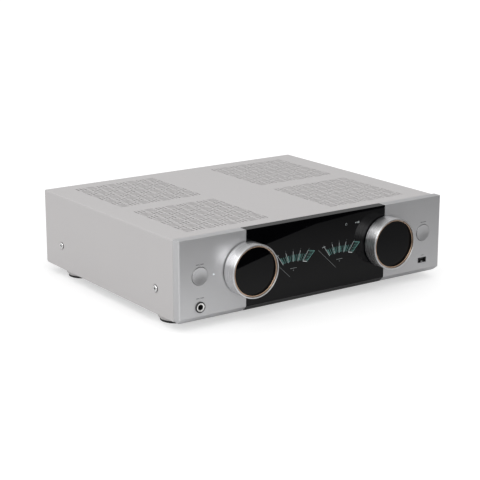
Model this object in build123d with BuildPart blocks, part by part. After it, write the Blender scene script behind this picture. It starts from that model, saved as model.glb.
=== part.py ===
from build123d import *
import os

os.makedirs("parts", exist_ok=True)

# Lengths are in millimetres. The front faces -Y, +X is to the right as seen from
# the front and +Z is up. The origin is on the ground under the middle of the object.

# Overall sizes
width = 435.0
body_depth = 339.5
panel_height = 109.2
panel_thickness = 13.5
panel_rise = 1.2
panel_drop = 2.0
ground_gap = 10.0
knob_proud = 22.3
post_proud = 23.0
rear_recess = 1.0

# Clearances and overruns
sheet_gap = 0.3
fit_gap = 0.05
loose_gap = 0.3
press_gap = 0.02
seam_gap = 0.15
cut_overrun = 1.0

# Sheet metal
cover_sheet = 1.5
cover_bend_radius = 2.0
cover_corner_radius = 4.0
pan_sheet = 1.2
pan_bend_radius = 1.5
pan_side_height = 48.0
pan_lip_height = 8.0
rear_sheet = 1.5
rear_flange_depth = 10.0
subchassis_sheet = 1.5

# Punched vents in the cover, in four square fields of woven slots
vent_centre_x = 116.5
vent_front_centre = 90.25
vent_row_spacing = 161.0
vent_field = 133.0
vent_cells = 8
slots_per_cell = 3
slot_width = 2.2
slot_length = 13.4

# Slots in the floor
floor_slot_length = 42.0
floor_slot_width = 4.0
floor_slot_pitch = 11.0
floor_slot_count = 9
floor_slot_x = 128.0

# Front panel
fascia_wall = 5.0
fascia_rim = 4.0
fascia_lower_rim = 9.0
chamfer_depth = 7.5
chamfer_height = 7.3
fascia_corner_radius = 5.5
fascia_edge_bevel = 1.2
boss_radius = 3.5
boss_outer_x = 207.0
boss_inner_x = 143.0
boss_top_drop = 14.0
boss_middle_drop = 74.0
boss_low_drop = 91.0
window_wall = 3.0

# Rotary controls
knob_x = 115.4
knob_drop = 48.9
knob_radius = 35.5
knob_gap = 1.6
knob_bevel = 0.6
knob_wall = 2.6
knob_web = 4.0
disc_recess = 4.0
disc_thickness = 1.8
ring_width = 1.2
hub_radius = 7.0
hub_end_gap = 1.0
shaft_radius = 3.0
shaft_tip_gap = 0.3
bushing_radius = 4.5
bushing_length = 7.5
bushing_hole_gap = 0.1
encoder_side = 14.0
encoder_depth = 6.5
encoder_blind = 4.5
nut_across = 12.0
nut_thickness = 2.0

# Push buttons
button_x = 186.4
button_drop = 48.1
button_radius = 11.5
button_gap = 0.5
button_dome = 1.5
button_flange_radius = 13.4
button_flange = 1.2
button_stem_radius = 2.5
button_travel = 1.2
button_end_gap = 0.1
sleeve_inner_radius = 4.6
sleeve_outer_radius = 6.6
switch_side = 6.0
switch_height = 2.0
plunger_radius = 1.7
plunger_height = 1.0
board_thickness = 1.6
control_board_x = 180.0
control_board_width = 44.0
control_board_height = 47.0
light_pipe_x = 165.4
light_pipe_drop = 49.0
light_pipe_radius = 1.0
light_pipe_proud = 0.2

# Headphone socket
jack_drop = 88.8
jack_bore_radius = 3.25
jack_bore_length = 30.0
jack_bushing_radius = 4.5
jack_body_width = 15.0
jack_body_height = 14.0
jack_body_back = 3.0
jack_nut_radius = 7.25
jack_nut_proud = 1.4
jack_nut_round = 0.8
jack_nut_inset = 0.5

# USB sockets
usb_drop = 87.7
usb_width = 14.8
usb_height = 7.0
usb_wall = 0.8
usb_depth = 15.7
usb_back = 2.0
tongue_width = 11.0
tongue_thickness = 1.9
tongue_length = 12.0
tongue_top_gap = 0.7

# Display behind the window
housing_half_width = 104.0
housing_height = 84.0
housing_wall = 2.0
display_thickness = 3.0

# Board behind the subchassis that carries the encoders
front_board_width = 268.0
front_board_height = 64.0
connector_width = 14.0
connector_height = 5.0
connector_depth = 8.0

# Feet
foot_x = 187.8
foot_front = 41.7
foot_rear = 286.7
foot_top_radius = 25.0
foot_neck_radius = 21.5
foot_neck_height = 1.2
foot_seat = 1.4
pad_radius = 20.6
pad_proud = 3.2
pad_hole_radius = 6.0
foot_screw_radius = 2.0
foot_screw_head_radius = 4.0
foot_screw_head = 2.4
foot_screw_floor = 3.0
foot_screw_reach = 4.0

# Screws that hold the cover, two to a side
cover_screw_front = 42.3
cover_screw_rear = 293.5
cover_screw_drop = 72.5
cover_screw_radius = 2.0
cover_screw_length = 7.0
cover_screw_head_radius = 4.5
cover_screw_head = 2.0
cover_screw_round = 0.9
dish_radius = 5.9
dish_floor_radius = 5.0
dish_depth = 0.9
cross_length = 5.0
cross_width = 1.1
cross_depth = 1.1

# Small screws inside the panel and on the rear
screw_radius = 1.5
screw_length = 9.0
screw_head_radius = 2.8
screw_head = 1.6
rear_screw_length = 5.0
rear_screw_inset = 18.0
rear_screw_rise = 5.0

# Boards on the floor
support_height = 8.0
support_radius = 3.0
stud_radius = 1.5
support_inset = 6.0
main_board_x = 5.0
main_board_width = 160.0
main_board_depth = 130.0
main_board_back_gap = 3.0
amplifier_board_width = 76.0
amplifier_board_depth = 140.0
amplifier_board_front = 50.0
power_board_x = 150.0
power_board_width = 110.0
power_board_depth = 112.0
power_board_front = 186.0
chip_height = 3.0
film_capacitor_radius = 5.0
film_capacitor_height = 11.0

# Network module
module_x = -40.0
module_back = 90.0
module_width = 56.0
module_depth = 44.0
module_lift = 4.0
can_height = 6.0
can_inset = 4.0
header_width = 5.0

# Heatsink and output transistors
heatsink_x = -122.0
heatsink_front = 40.0
heatsink_length = 200.0
heatsink_height = 72.0
heatsink_plate = 8.0
fin_depth = 48.0
fin_thickness = 2.0
fin_count = 21
transistor_count = 4
transistor_pitch = 34.0
transistor_width = 16.0
transistor_height = 21.0
transistor_thickness = 5.0
transistor_rise = 22.0
leg_width = 1.2
leg_pitch = 5.0

# Toroidal transformer
toroid_x = 134.0
toroid_front = 100.0
toroid_radius = 56.0
toroid_hole_radius = 17.0
toroid_height = 50.0
toroid_round = 12.0
clamp_radius = 32.0
clamp_thickness = 2.0
bolt_radius = 4.0
bolt_head_radius = 7.0
bolt_head = 5.0

# Reservoir capacitors
capacitor_radius = 15.0
capacitor_height = 45.0
capacitor_pitch_x = 34.0
capacitor_pitch_y = 36.0
capacitor_round = 1.5

# Mains inlet
inlet_x = 150.0
inlet_height = 34.0
inlet_flange_width = 31.0
inlet_flange_height = 24.0
inlet_flange = 2.5
inlet_body_width = 27.4
inlet_body_height = 20.0
inlet_body_depth = 20.0
inlet_cavity_width = 24.4
inlet_cavity_height = 16.8
inlet_cavity_depth = 15.5
inlet_bevel = 4.0
blade_width = 2.0
blade_height = 4.0
blade_spacing = 7.0
blade_offset = 2.0
blade_length = 13.5

# Sockets on the main board's rear edge
ethernet_x = 22.0
ethernet_width = 16.0
ethernet_height = 13.5
ethernet_depth = 21.0
ethernet_mouth_width = 11.9
ethernet_mouth_height = 7.0
ethernet_latch_width = 6.2
ethernet_latch_height = 2.6
ethernet_mouth_depth = 15.0
ethernet_floor = 1.5
hdmi_x = 44.0
hdmi_width = 15.4
hdmi_height = 6.2
hdmi_depth = 12.5
hdmi_wall = 0.5
hdmi_tongue_width = 11.0
hdmi_tongue = 1.2
hdmi_back = 2.0
rear_usb_x = 66.0
socket_proud = 0.6

# Phono sockets
phono_x = -34.0
phono_columns = 3
phono_pitch_x = 18.0
phono_pitch_z = 20.0
phono_low_height = 42.0
phono_radius = 4.15
phono_hole_radius = 1.6
phono_hole_depth = 10.0
phono_proud = 9.0
phono_block = 12.0
phono_block_depth = 11.0
phono_collar_radius = 5.6
phono_collar = 1.4

# Speaker terminals
speaker_centre_x = -118.0
speaker_pair_spacing = 50.0
speaker_pole_spacing = 21.0
speaker_height = 50.0
terminal_plate_width = 96.0
terminal_plate_height = 30.0
terminal_plate = 3.0
terminal_plate_round = 3.0
terminal_collar_radius = 7.5
terminal_collar = 2.0
post_radius = 3.0
post_bore_radius = 2.05
post_bore_depth = 17.0
post_inside = 9.0
post_nut_radius = 5.0
post_nut = 3.0
cap_radius = 7.0
cap_groove_radius = 0.6
cap_groove_count = 14
cap_end_gap = 0.2

# Antennas, folded down behind the rear panel
antenna_x = 196.0
antenna_drop = 16.0
antenna_hole_radius = 4.0
antenna_drum_radius = 6.5
antenna_drum = 8.0
antenna_retainer_radius = 5.6
antenna_retainer = 2.0
antenna_ear = 2.4
antenna_slot = 5.2
antenna_tongue = 4.8
antenna_knuckle_radius = 4.6
antenna_pin_radius = 1.5
antenna_neck = 7.5
antenna_rod_radius = 4.6
antenna_rod_length = 84.0
antenna_tip_radius = 3.4

# Places worked out from the sizes above
rear_reach = post_proud - rear_recess
total_depth = knob_proud + panel_thickness + body_depth + rear_reach
panel_front_y = knob_proud - total_depth / 2
panel_back_y = panel_front_y + panel_thickness
pocket_y = panel_front_y + fascia_wall
cover_back_y = panel_back_y + body_depth
rear_outer_y = cover_back_y - rear_recess
rear_inner_y = rear_outer_y - rear_sheet
subchassis_back_y = panel_back_y + subchassis_sheet
panel_bottom_z = ground_gap
panel_top_z = ground_gap + panel_height
top_z = panel_top_z - panel_rise
base_z = panel_bottom_z + panel_drop
cover_height = top_z - base_z
floor_z = base_z + pan_sheet
ceiling_z = top_z - cover_sheet
inner_width = width - 2 * cover_sheet
pan_width = inner_width - 2 * sheet_gap
pan_inner_width = pan_width - 2 * pan_sheet
rear_width = inner_width - 2 * sheet_gap
subchassis_width = pan_inner_width - 2 * sheet_gap
knob_z = top_z - knob_drop
button_z = top_z - button_drop
jack_z = top_z - jack_drop
usb_z = top_z - usb_drop
light_pipe_z = top_z - light_pipe_drop
board_front_y = panel_back_y - board_thickness
board_top_z = floor_z + support_height + board_thickness
encoder_back_y = subchassis_back_y + encoder_depth
front_board_back_y = encoder_back_y + board_thickness
main_board_back_y = rear_inner_y - main_board_back_gap
power_board_y = panel_back_y + power_board_front + power_board_depth / 2
amplifier_board_x = heatsink_x + loose_gap + amplifier_board_width / 2
antenna_z = top_z - antenna_drop
left = -1
right = 1
left_to_right = (left, right)
boss_places = (
    (boss_outer_x, top_z - boss_top_drop),
    (boss_outer_x, top_z - boss_middle_drop),
    (boss_inner_x, top_z - boss_top_drop),
    (boss_inner_x, top_z - boss_low_drop),
)
cover_screw_ys = (panel_back_y + cover_screw_front, panel_back_y + cover_screw_rear)
cover_screw_z = top_z - cover_screw_drop
foot_places = [
    (side * foot_x, panel_back_y + distance)
    for side in left_to_right
    for distance in (foot_front, foot_rear)
]
speaker_xs = [
    speaker_centre_x + pair * speaker_pair_spacing / 2 + pole * speaker_pole_spacing / 2
    for pair in left_to_right
    for pole in left_to_right
]
speaker_z = base_z + speaker_height
rear_screw_places = [
    (column * (rear_width / 2 - rear_screw_inset), base_z + rear_screw_rise)
    for column in (left, 0, right)
]


def save(piece, name):
    """Label a finished piece and write it to its own file."""
    piece.part.label = name
    export_step(piece.part, f"parts/{name}.step")


def front_plane(y):
    """A sketch plane at depth y whose axes are +X and +Z. It extrudes towards the front."""
    return Plane.XZ.offset(-y)


def mouth_plane(x, y, z, facing):
    """A plane at a socket's mouth that looks out along Y (facing -1 is the front), with +Z up."""
    return Plane(origin=(x, y, z), x_dir=(-facing, 0, 0), z_dir=(0, facing, 0))


def side_plane(side, y, z):
    """A plane on the outside of one flank that looks out along X."""
    return Plane(origin=(side * width / 2, y, z), x_dir=(0, side, 0), z_dir=(side, 0, 0))


def turning_plane(x, y, z):
    """A level plane through an axis along Y, for turned profiles: radius first, then depth."""
    return Plane(origin=(x, y, z), x_dir=(1, 0, 0), z_dir=(0, 0, 1))


def turning_axis(x, z):
    """The axis along Y of a turned piece."""
    return Axis((x, 0, z), (0, 1, 0))


def panel_outline(x, inset=0):
    """The front panel's side outline, with the sloped lower edge, on a plane across X."""
    with BuildSketch(Plane.YZ.offset(x)) as outline:
        with BuildLine():
            Polyline(
                (panel_front_y, panel_top_z),
                (panel_back_y + inset, panel_top_z),
                (panel_back_y + inset, panel_bottom_z),
                (panel_front_y + chamfer_depth, panel_bottom_z),
                (panel_front_y, panel_bottom_z + chamfer_height),
                close=True,
            )
        make_face()
        if inset:
            offset(amount=-inset, kind=Kind.INTERSECTION, mode=Mode.REPLACE)
    return outline.sketch


def board_corners(x, y, board_width, board_depth):
    """The four places, set in from its corners, where a board is held."""
    return [
        (x + i * (board_width / 2 - support_inset), y + j * (board_depth / 2 - support_inset))
        for i in left_to_right
        for j in left_to_right
    ]


# Top cover: a folded sheet with four punched fields
vent_places = [
    (side * vent_centre_x, panel_back_y + vent_front_centre + row * vent_row_spacing)
    for side in left_to_right
    for row in range(2)
]
cell_pitch = vent_field / vent_cells
slot_pitch = cell_pitch / slots_per_cell
slots_along_x = []
slots_along_y = []
for vent_x, vent_y in vent_places:
    for column in range(vent_cells):
        for row in range(vent_cells):
            cell_x = vent_x + (column - (vent_cells - 1) / 2) * cell_pitch
            cell_y = vent_y + (row - (vent_cells - 1) / 2) * cell_pitch
            for slot in range(slots_per_cell):
                shift = (slot - (slots_per_cell - 1) / 2) * slot_pitch
                if (column + row) % 2:
                    slots_along_y.append((cell_x + shift, cell_y))
                else:
                    slots_along_x.append((cell_x, cell_y + shift))

with BuildPart() as punched_sheet:
    with BuildSketch(Plane.XY.offset(ceiling_z)):
        with Locations((0, (panel_back_y + cover_back_y) / 2)):
            Rectangle(width - 2 * cover_bend_radius, body_depth)
        with BuildSketch(mode=Mode.SUBTRACT):
            with Locations(*slots_along_x):
                SlotOverall(slot_length, slot_width)
            with Locations(*slots_along_y):
                SlotOverall(slot_length, slot_width, rotation=90)
    extrude(amount=cover_sheet)

with BuildPart() as top_cover:
    with BuildSketch(front_plane(cover_back_y)) as flanks:
        with Locations((0, base_z)):
            Rectangle(width, cover_height, align=(Align.CENTER, Align.MIN))
        fillet(flanks.vertices().group_by(Axis.Y)[-1], cover_bend_radius)
        with Locations((0, base_z)):
            Rectangle(
                inner_width,
                cover_height - cover_sheet,
                align=(Align.CENTER, Align.MIN),
                mode=Mode.SUBTRACT,
            )
            Rectangle(
                width - 2 * cover_bend_radius,
                cover_height,
                align=(Align.CENTER, Align.MIN),
                mode=Mode.SUBTRACT,
            )
    extrude(amount=body_depth)
    fillet(
        top_cover.edges().filter_by(Axis.X).group_by(Axis.Y)[-1].group_by(Axis.Z)[0],
        cover_corner_radius,
    )
    for flank in left_to_right:
        for screw_y in cover_screw_ys:
            with Locations(side_plane(flank, screw_y, cover_screw_z)):
                Cone(
                    dish_floor_radius,
                    dish_radius,
                    dish_depth,
                    align=(Align.CENTER, Align.CENTER, Align.MAX),
                    mode=Mode.SUBTRACT,
                )
                Cylinder(
                    cover_screw_radius + fit_gap,
                    cover_sheet + cut_overrun,
                    align=(Align.CENTER, Align.CENTER, Align.MAX),
                    mode=Mode.SUBTRACT,
                )
    add(punched_sheet.part)
save(top_cover, "top_cover")

# Base pan: floor, flanks and lips of one folded sheet
pan_depth = rear_inner_y - panel_back_y
with BuildPart() as base_pan:
    with BuildSketch(front_plane(rear_inner_y)) as pan_section:
        with Locations((0, base_z)):
            Rectangle(pan_width, pan_side_height, align=(Align.CENTER, Align.MIN))
        fillet(pan_section.vertices().group_by(Axis.Y)[0], pan_bend_radius)
        with Locations((0, floor_z)):
            Rectangle(
                pan_inner_width,
                pan_side_height,
                align=(Align.CENTER, Align.MIN),
                mode=Mode.SUBTRACT,
            )
    extrude(amount=pan_depth)
    for lip_y in (subchassis_back_y, rear_inner_y - pan_sheet):
        with Locations((0, lip_y, floor_z)):
            Box(
                pan_inner_width,
                pan_sheet,
                pan_lip_height,
                align=(Align.CENTER, Align.MIN, Align.MIN),
            )
    with BuildSketch(Plane.XY.offset(base_z)):
        for side in left_to_right:
            with Locations((side * floor_slot_x, panel_back_y + pan_depth / 2)):
                with GridLocations(0, floor_slot_pitch, 1, floor_slot_count):
                    SlotOverall(floor_slot_length, floor_slot_width)
        with Locations(*foot_places):
            Circle(foot_screw_radius + fit_gap)
    extrude(amount=pan_sheet, mode=Mode.SUBTRACT)
    with BuildSketch(front_plane(rear_inner_y)):
        with Locations(*rear_screw_places):
            Circle(screw_radius + fit_gap)
    extrude(amount=pan_sheet, mode=Mode.SUBTRACT)
    for flank in left_to_right:
        for screw_y in cover_screw_ys:
            with Locations(side_plane(flank, screw_y, cover_screw_z)):
                Cylinder(
                    cover_screw_radius + fit_gap,
                    cover_sheet + sheet_gap + pan_sheet + cut_overrun,
                    align=(Align.CENTER, Align.CENTER, Align.MAX),
                    mode=Mode.SUBTRACT,
                )
save(base_pan, "base_pan")

# Subchassis: the upright sheet that the front panel is screwed to
with BuildPart() as front_subchassis:
    with BuildSketch(front_plane(subchassis_back_y)):
        with Locations((0, floor_z)):
            Rectangle(
                subchassis_width,
                ceiling_z - floor_z - sheet_gap,
                align=(Align.CENTER, Align.MIN),
            )
        with Locations((-knob_x, knob_z), (knob_x, knob_z)):
            Circle(bushing_radius + bushing_hole_gap, mode=Mode.SUBTRACT)
        with Locations((-button_x, jack_z)):
            Rectangle(
                jack_body_width + 2 * loose_gap,
                jack_body_height + 2 * loose_gap,
                mode=Mode.SUBTRACT,
            )
        with Locations((button_x, usb_z)):
            Rectangle(usb_width + 2 * loose_gap, usb_height + 2 * loose_gap, mode=Mode.SUBTRACT)
        with Locations(*[(side * x, z) for side in left_to_right for x, z in boss_places]):
            Circle(screw_radius + fit_gap, mode=Mode.SUBTRACT)
    extrude(amount=subchassis_sheet)
save(front_subchassis, "front_subchassis")

# Front panel: a hollow metal half on each side of the window
fascia_inner_x = knob_x + seam_gap
for side, name in ((left, "left_fascia"), (right, "right_fascia")):
    with BuildPart() as fascia:
        extrude(panel_outline(side * fascia_inner_x), amount=side * (width / 2 - fascia_inner_x))
        with BuildSketch(front_plane(panel_back_y)) as front_view:
            with Locations((0, panel_bottom_z)):
                Rectangle(width, panel_height, align=(Align.CENTER, Align.MIN))
            fillet(front_view.vertices().group_by(Axis.Y)[0], fascia_corner_radius)
        extrude(amount=panel_thickness, mode=Mode.INTERSECT)
        chamfer(
            fascia.edges()
            .filter_by(Axis.Z)
            .group_by(Axis.Y)[0]
            .sort_by(Axis.X)[-1 if side == right else 0],
            fascia_edge_bevel,
        )
        pocket_width = width / 2 - fascia_rim - fascia_inner_x + cut_overrun
        pocket_height = panel_height - fascia_rim - fascia_lower_rim
        with BuildSketch(front_plane(panel_back_y)):
            with Locations(
                (
                    side * (width / 2 - fascia_rim - pocket_width / 2),
                    panel_bottom_z + fascia_lower_rim + pocket_height / 2,
                )
            ):
                Rectangle(pocket_width, pocket_height)
        extrude(amount=panel_thickness - fascia_wall, mode=Mode.SUBTRACT)
        with BuildSketch(front_plane(panel_back_y)):
            with Locations(*[(side * x, z) for x, z in boss_places]):
                Circle(boss_radius)
        extrude(amount=panel_thickness - fascia_wall)
        with BuildSketch(front_plane(panel_back_y)):
            with Locations(*[(side * x, z) for x, z in boss_places]):
                Circle(screw_radius + fit_gap)
        extrude(amount=screw_length, mode=Mode.SUBTRACT)
        with BuildSketch(front_plane(pocket_y)):
            with Locations((side * knob_x, knob_z)):
                Circle(shaft_radius + cut_overrun)
            with Locations((side * button_x, button_z)):
                Circle(button_radius + button_gap)
            if side == left:
                with Locations((-button_x, jack_z)):
                    Circle(jack_bushing_radius + loose_gap)
                with Locations((-light_pipe_x, light_pipe_z)):
                    Circle(light_pipe_radius + bushing_hole_gap)
            else:
                with Locations((button_x, usb_z)):
                    Rectangle(usb_width + 2 * seam_gap, usb_height + 2 * seam_gap)
        extrude(amount=fascia_wall, mode=Mode.SUBTRACT)
    save(fascia, name)

# Display window: a dark pane that wraps over the top edge and under the slope
window_width = 2 * (knob_x - seam_gap)
with BuildPart() as display_window:
    extrude(panel_outline(-window_width / 2), amount=window_width)
    extrude(
        panel_outline(-window_width / 2, inset=window_wall),
        amount=window_width,
        mode=Mode.SUBTRACT,
    )
    with BuildSketch(front_plane(pocket_y)):
        with Locations((-knob_x, knob_z), (knob_x, knob_z)):
            Circle(shaft_radius + cut_overrun)
    extrude(amount=fascia_wall, mode=Mode.SUBTRACT)
save(display_window, "display_window")

# Display: a lit panel in a tray between the window and the subchassis
window_inner_y = panel_front_y + window_wall
housing_z = (top_z + panel_bottom_z) / 2
with BuildPart() as display_housing:
    with BuildSketch(front_plane(panel_back_y)):
        with Locations((0, housing_z)):
            Rectangle(2 * housing_half_width, housing_height)
    extrude(amount=panel_back_y - window_inner_y - loose_gap)
    with BuildSketch(front_plane(panel_back_y - housing_wall)):
        with Locations((0, housing_z)):
            Rectangle(
                2 * (housing_half_width - housing_wall),
                housing_height - 2 * housing_wall,
            )
    extrude(amount=panel_thickness, mode=Mode.SUBTRACT)
    with BuildSketch(front_plane(panel_back_y - housing_wall)):
        with Locations((0, housing_z)):
            with GridLocations(
                2 * (housing_half_width - boss_radius - housing_wall),
                housing_height - 2 * (boss_radius + housing_wall),
                2,
                2,
            ):
                Circle(boss_radius)
    extrude(
        amount=panel_back_y - housing_wall - window_inner_y - loose_gap - display_thickness
    )
save(display_housing, "display_housing")

with BuildPart() as display_panel:
    with BuildSketch(front_plane(window_inner_y + loose_gap + display_thickness)):
        with Locations((0, housing_z)):
            Rectangle(
                2 * (housing_half_width - housing_wall - loose_gap),
                housing_height - 2 * (housing_wall + loose_gap),
            )
    extrude(amount=display_thickness)
save(display_panel, "display_panel")

# Front board, on the back of the encoders
with BuildPart() as front_board:
    with BuildSketch(front_plane(front_board_back_y)):
        with Locations((0, knob_z)):
            Rectangle(front_board_width, front_board_height)
    extrude(amount=board_thickness)
    with Locations((0, front_board_back_y, knob_z)):
        Box(
            connector_width,
            connector_depth,
            connector_height,
            align=(Align.CENTER, Align.MIN, Align.CENTER),
        )
save(front_board, "front_board")

# Control boards, one behind each push button
with BuildPart() as control_boards:
    with BuildSketch(front_plane(panel_back_y)):
        with Locations((-control_board_x, button_z), (control_board_x, button_z)):
            Rectangle(control_board_width, control_board_height)
    extrude(amount=board_thickness)
    with BuildSketch(front_plane(board_front_y)):
        with Locations((-button_x, button_z), (button_x, button_z)):
            Rectangle(switch_side, switch_side)
    extrude(amount=switch_height)
    with BuildSketch(front_plane(board_front_y - switch_height)):
        with Locations((-button_x, button_z), (button_x, button_z)):
            Circle(plunger_radius)
    extrude(amount=plunger_height)
save(control_boards, "control_boards")

with BuildPart() as status_light_pipe:
    with BuildSketch(front_plane(board_front_y)):
        with Locations((-light_pipe_x, light_pipe_z)):
            Circle(light_pipe_radius)
    extrude(amount=board_front_y - panel_front_y + light_pipe_proud)
save(status_light_pipe, "status_light_pipe")

# Push buttons: a domed cap with a flange behind the panel and a stem to its switch
flange_front = fascia_wall + loose_gap
flange_back = flange_front + button_flange
stem_end = (
    board_front_y
    - switch_height
    - plunger_height
    - button_end_gap
    - button_travel
    - panel_front_y
)
for side, name in ((left, "power_button"), (right, "select_button")):
    with BuildPart() as button:
        with BuildSketch(turning_plane(side * button_x, panel_front_y, button_z)):
            with BuildLine():
                ThreePointArc(
                    (0, -button_dome),
                    (button_radius / 2, -3 * button_dome / 4),
                    (button_radius, 0),
                )
                Polyline(
                    (button_radius, 0),
                    (button_radius, flange_front),
                    (button_flange_radius, flange_front),
                    (button_flange_radius, flange_back),
                    (button_stem_radius, flange_back),
                    (button_stem_radius, stem_end),
                    (0, stem_end),
                    (0, -button_dome),
                )
            make_face()
        revolve(axis=turning_axis(side * button_x, button_z))
    save(button, name)
    with BuildPart() as sleeve:
        with BuildSketch(front_plane(board_front_y)):
            with Locations((side * button_x, button_z)):
                Circle(sleeve_outer_radius)
                Circle(sleeve_inner_radius, mode=Mode.SUBTRACT)
        extrude(amount=board_front_y - panel_front_y - flange_back - button_end_gap)
    save(sleeve, f"{name}_sleeve")

# Rotary encoders: a body behind the subchassis with a bushing and a nut in front of it
with BuildPart() as rotary_encoders:
    with BuildSketch(front_plane(encoder_back_y)):
        with Locations((-knob_x, knob_z), (knob_x, knob_z)):
            Rectangle(encoder_side, encoder_side)
    extrude(amount=encoder_depth)
    with BuildSketch(front_plane(subchassis_back_y)):
        with Locations((-knob_x, knob_z), (knob_x, knob_z)):
            Circle(bushing_radius)
    extrude(amount=bushing_length)
    with BuildSketch(front_plane(subchassis_back_y + encoder_blind)):
        with Locations((-knob_x, knob_z), (knob_x, knob_z)):
            Circle(shaft_radius + fit_gap)
    extrude(amount=encoder_blind + bushing_length, mode=Mode.SUBTRACT)
save(rotary_encoders, "rotary_encoders")

with BuildPart() as encoder_nuts:
    with BuildSketch(front_plane(panel_back_y)):
        with Locations((-knob_x, knob_z), (knob_x, knob_z)):
            RegularPolygon(nut_across / 2, 6, major_radius=False)
            Circle(bushing_radius + press_gap, mode=Mode.SUBTRACT)
    extrude(amount=nut_thickness)
save(encoder_nuts, "encoder_nuts")

# Knobs: a turned shell with a sunk gloss disc in a coloured ring, on the encoder's shaft
recess_radius = knob_radius - knob_wall
disc_front = knob_proud - disc_recess
web_front = disc_front - disc_thickness
web_back = web_front - knob_web
disc_radius = recess_radius - fit_gap - ring_width - fit_gap
shell_inner_radius = knob_radius - knob_wall - ring_width
shaft_back_y = subchassis_back_y + encoder_blind - shaft_tip_gap
for side, name in ((left, "volume"), (right, "input")):
    axis = turning_axis(side * knob_x, knob_z)
    plane = turning_plane(side * knob_x, panel_front_y, knob_z)
    with BuildPart() as shell:
        with BuildSketch(plane):
            with BuildLine():
                Polyline(
                    (shaft_radius + press_gap, -knob_gap - hub_end_gap),
                    (hub_radius, -knob_gap - hub_end_gap),
                    (hub_radius, -web_back),
                    (shell_inner_radius, -web_back),
                    (shell_inner_radius, -knob_gap),
                    (knob_radius - knob_bevel, -knob_gap),
                    (knob_radius, -knob_gap - knob_bevel),
                    (knob_radius, -knob_proud + knob_bevel),
                    (knob_radius - knob_bevel, -knob_proud),
                    (recess_radius + knob_bevel, -knob_proud),
                    (recess_radius, -knob_proud + knob_bevel),
                    (recess_radius, -web_front),
                    (shaft_radius + press_gap, -web_front),
                    close=True,
                )
            make_face()
        revolve(axis=axis)
    save(shell, f"{name}_knob_shell")
    with BuildPart() as ring:
        with BuildSketch(front_plane(panel_front_y - web_front)):
            with Locations((side * knob_x, knob_z)):
                Circle(recess_radius - fit_gap)
                Circle(recess_radius - fit_gap - ring_width, mode=Mode.SUBTRACT)
        extrude(amount=disc_thickness)
    save(ring, f"{name}_knob_ring")
    with BuildPart() as disc:
        with BuildSketch(front_plane(panel_front_y - web_front)):
            with Locations((side * knob_x, knob_z)):
                Circle(disc_radius)
        extrude(amount=disc_thickness)
    save(disc, f"{name}_knob_disc")
    with BuildPart() as shaft:
        with BuildSketch(front_plane(shaft_back_y)):
            with Locations((side * knob_x, knob_z)):
                Circle(shaft_radius)
        extrude(amount=shaft_back_y - panel_front_y + web_front)
    save(shaft, f"{name}_encoder_shaft")

# Headphone socket: a body behind the panel and a bright nut in front
jack_body_depth = jack_bore_length - fascia_wall + jack_body_back
with BuildPart() as headphone_jack:
    with BuildSketch(front_plane(pocket_y + jack_body_depth)):
        with Locations((-button_x, jack_z)):
            Rectangle(jack_body_width, jack_body_height)
    extrude(amount=jack_body_depth)
    with BuildSketch(front_plane(pocket_y)):
        with Locations((-button_x, jack_z)):
            Circle(jack_bushing_radius)
    extrude(amount=fascia_wall + jack_nut_proud - jack_nut_inset)
    with BuildSketch(front_plane(panel_front_y + jack_bore_length)):
        with Locations((-button_x, jack_z)):
            Circle(jack_bore_radius)
    extrude(amount=jack_bore_length + jack_nut_proud, mode=Mode.SUBTRACT)
save(headphone_jack, "headphone_jack")

with BuildPart() as headphone_nut:
    with BuildSketch(front_plane(panel_front_y)):
        with Locations((-button_x, jack_z)):
            Circle(jack_nut_radius)
            Circle(jack_bushing_radius + press_gap, mode=Mode.SUBTRACT)
    extrude(amount=jack_nut_proud)
    fillet(
        headphone_nut.faces().sort_by(Axis.Y)[0].edges().sort_by(SortBy.RADIUS)[-1],
        jack_nut_round,
    )
save(headphone_nut, "headphone_nut")

# USB sockets: one in the front panel and one at the rear edge of the main board
usb_mouths = (
    mouth_plane(button_x, panel_front_y, usb_z, -1),
    mouth_plane(rear_usb_x, rear_outer_y + socket_proud, board_top_z + usb_height / 2, 1),
)
with BuildPart() as usb_shells:
    with Locations(*usb_mouths):
        Box(
            usb_width,
            usb_height,
            usb_depth,
            align=(Align.CENTER, Align.CENTER, Align.MAX),
        )
        Box(
            usb_width - 2 * usb_wall,
            usb_height - 2 * usb_wall,
            usb_depth - usb_wall,
            align=(Align.CENTER, Align.CENTER, Align.MAX),
            mode=Mode.SUBTRACT,
        )
save(usb_shells, "usb_shells")

with BuildPart() as usb_tongues:
    for mouth in usb_mouths:
        with Locations(mouth.offset(-usb_depth + usb_wall)):
            Box(
                usb_width - 2 * (usb_wall + press_gap),
                usb_height - 2 * (usb_wall + press_gap),
                usb_back,
                align=(Align.CENTER, Align.CENTER, Align.MIN),
            )
            with Locations((0, usb_height / 2 - usb_wall - tongue_top_gap, 0)):
                Box(
                    tongue_width,
                    tongue_thickness,
                    tongue_length,
                    align=(Align.CENTER, Align.MAX, Align.MIN),
                )
save(usb_tongues, "usb_tongues")

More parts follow.
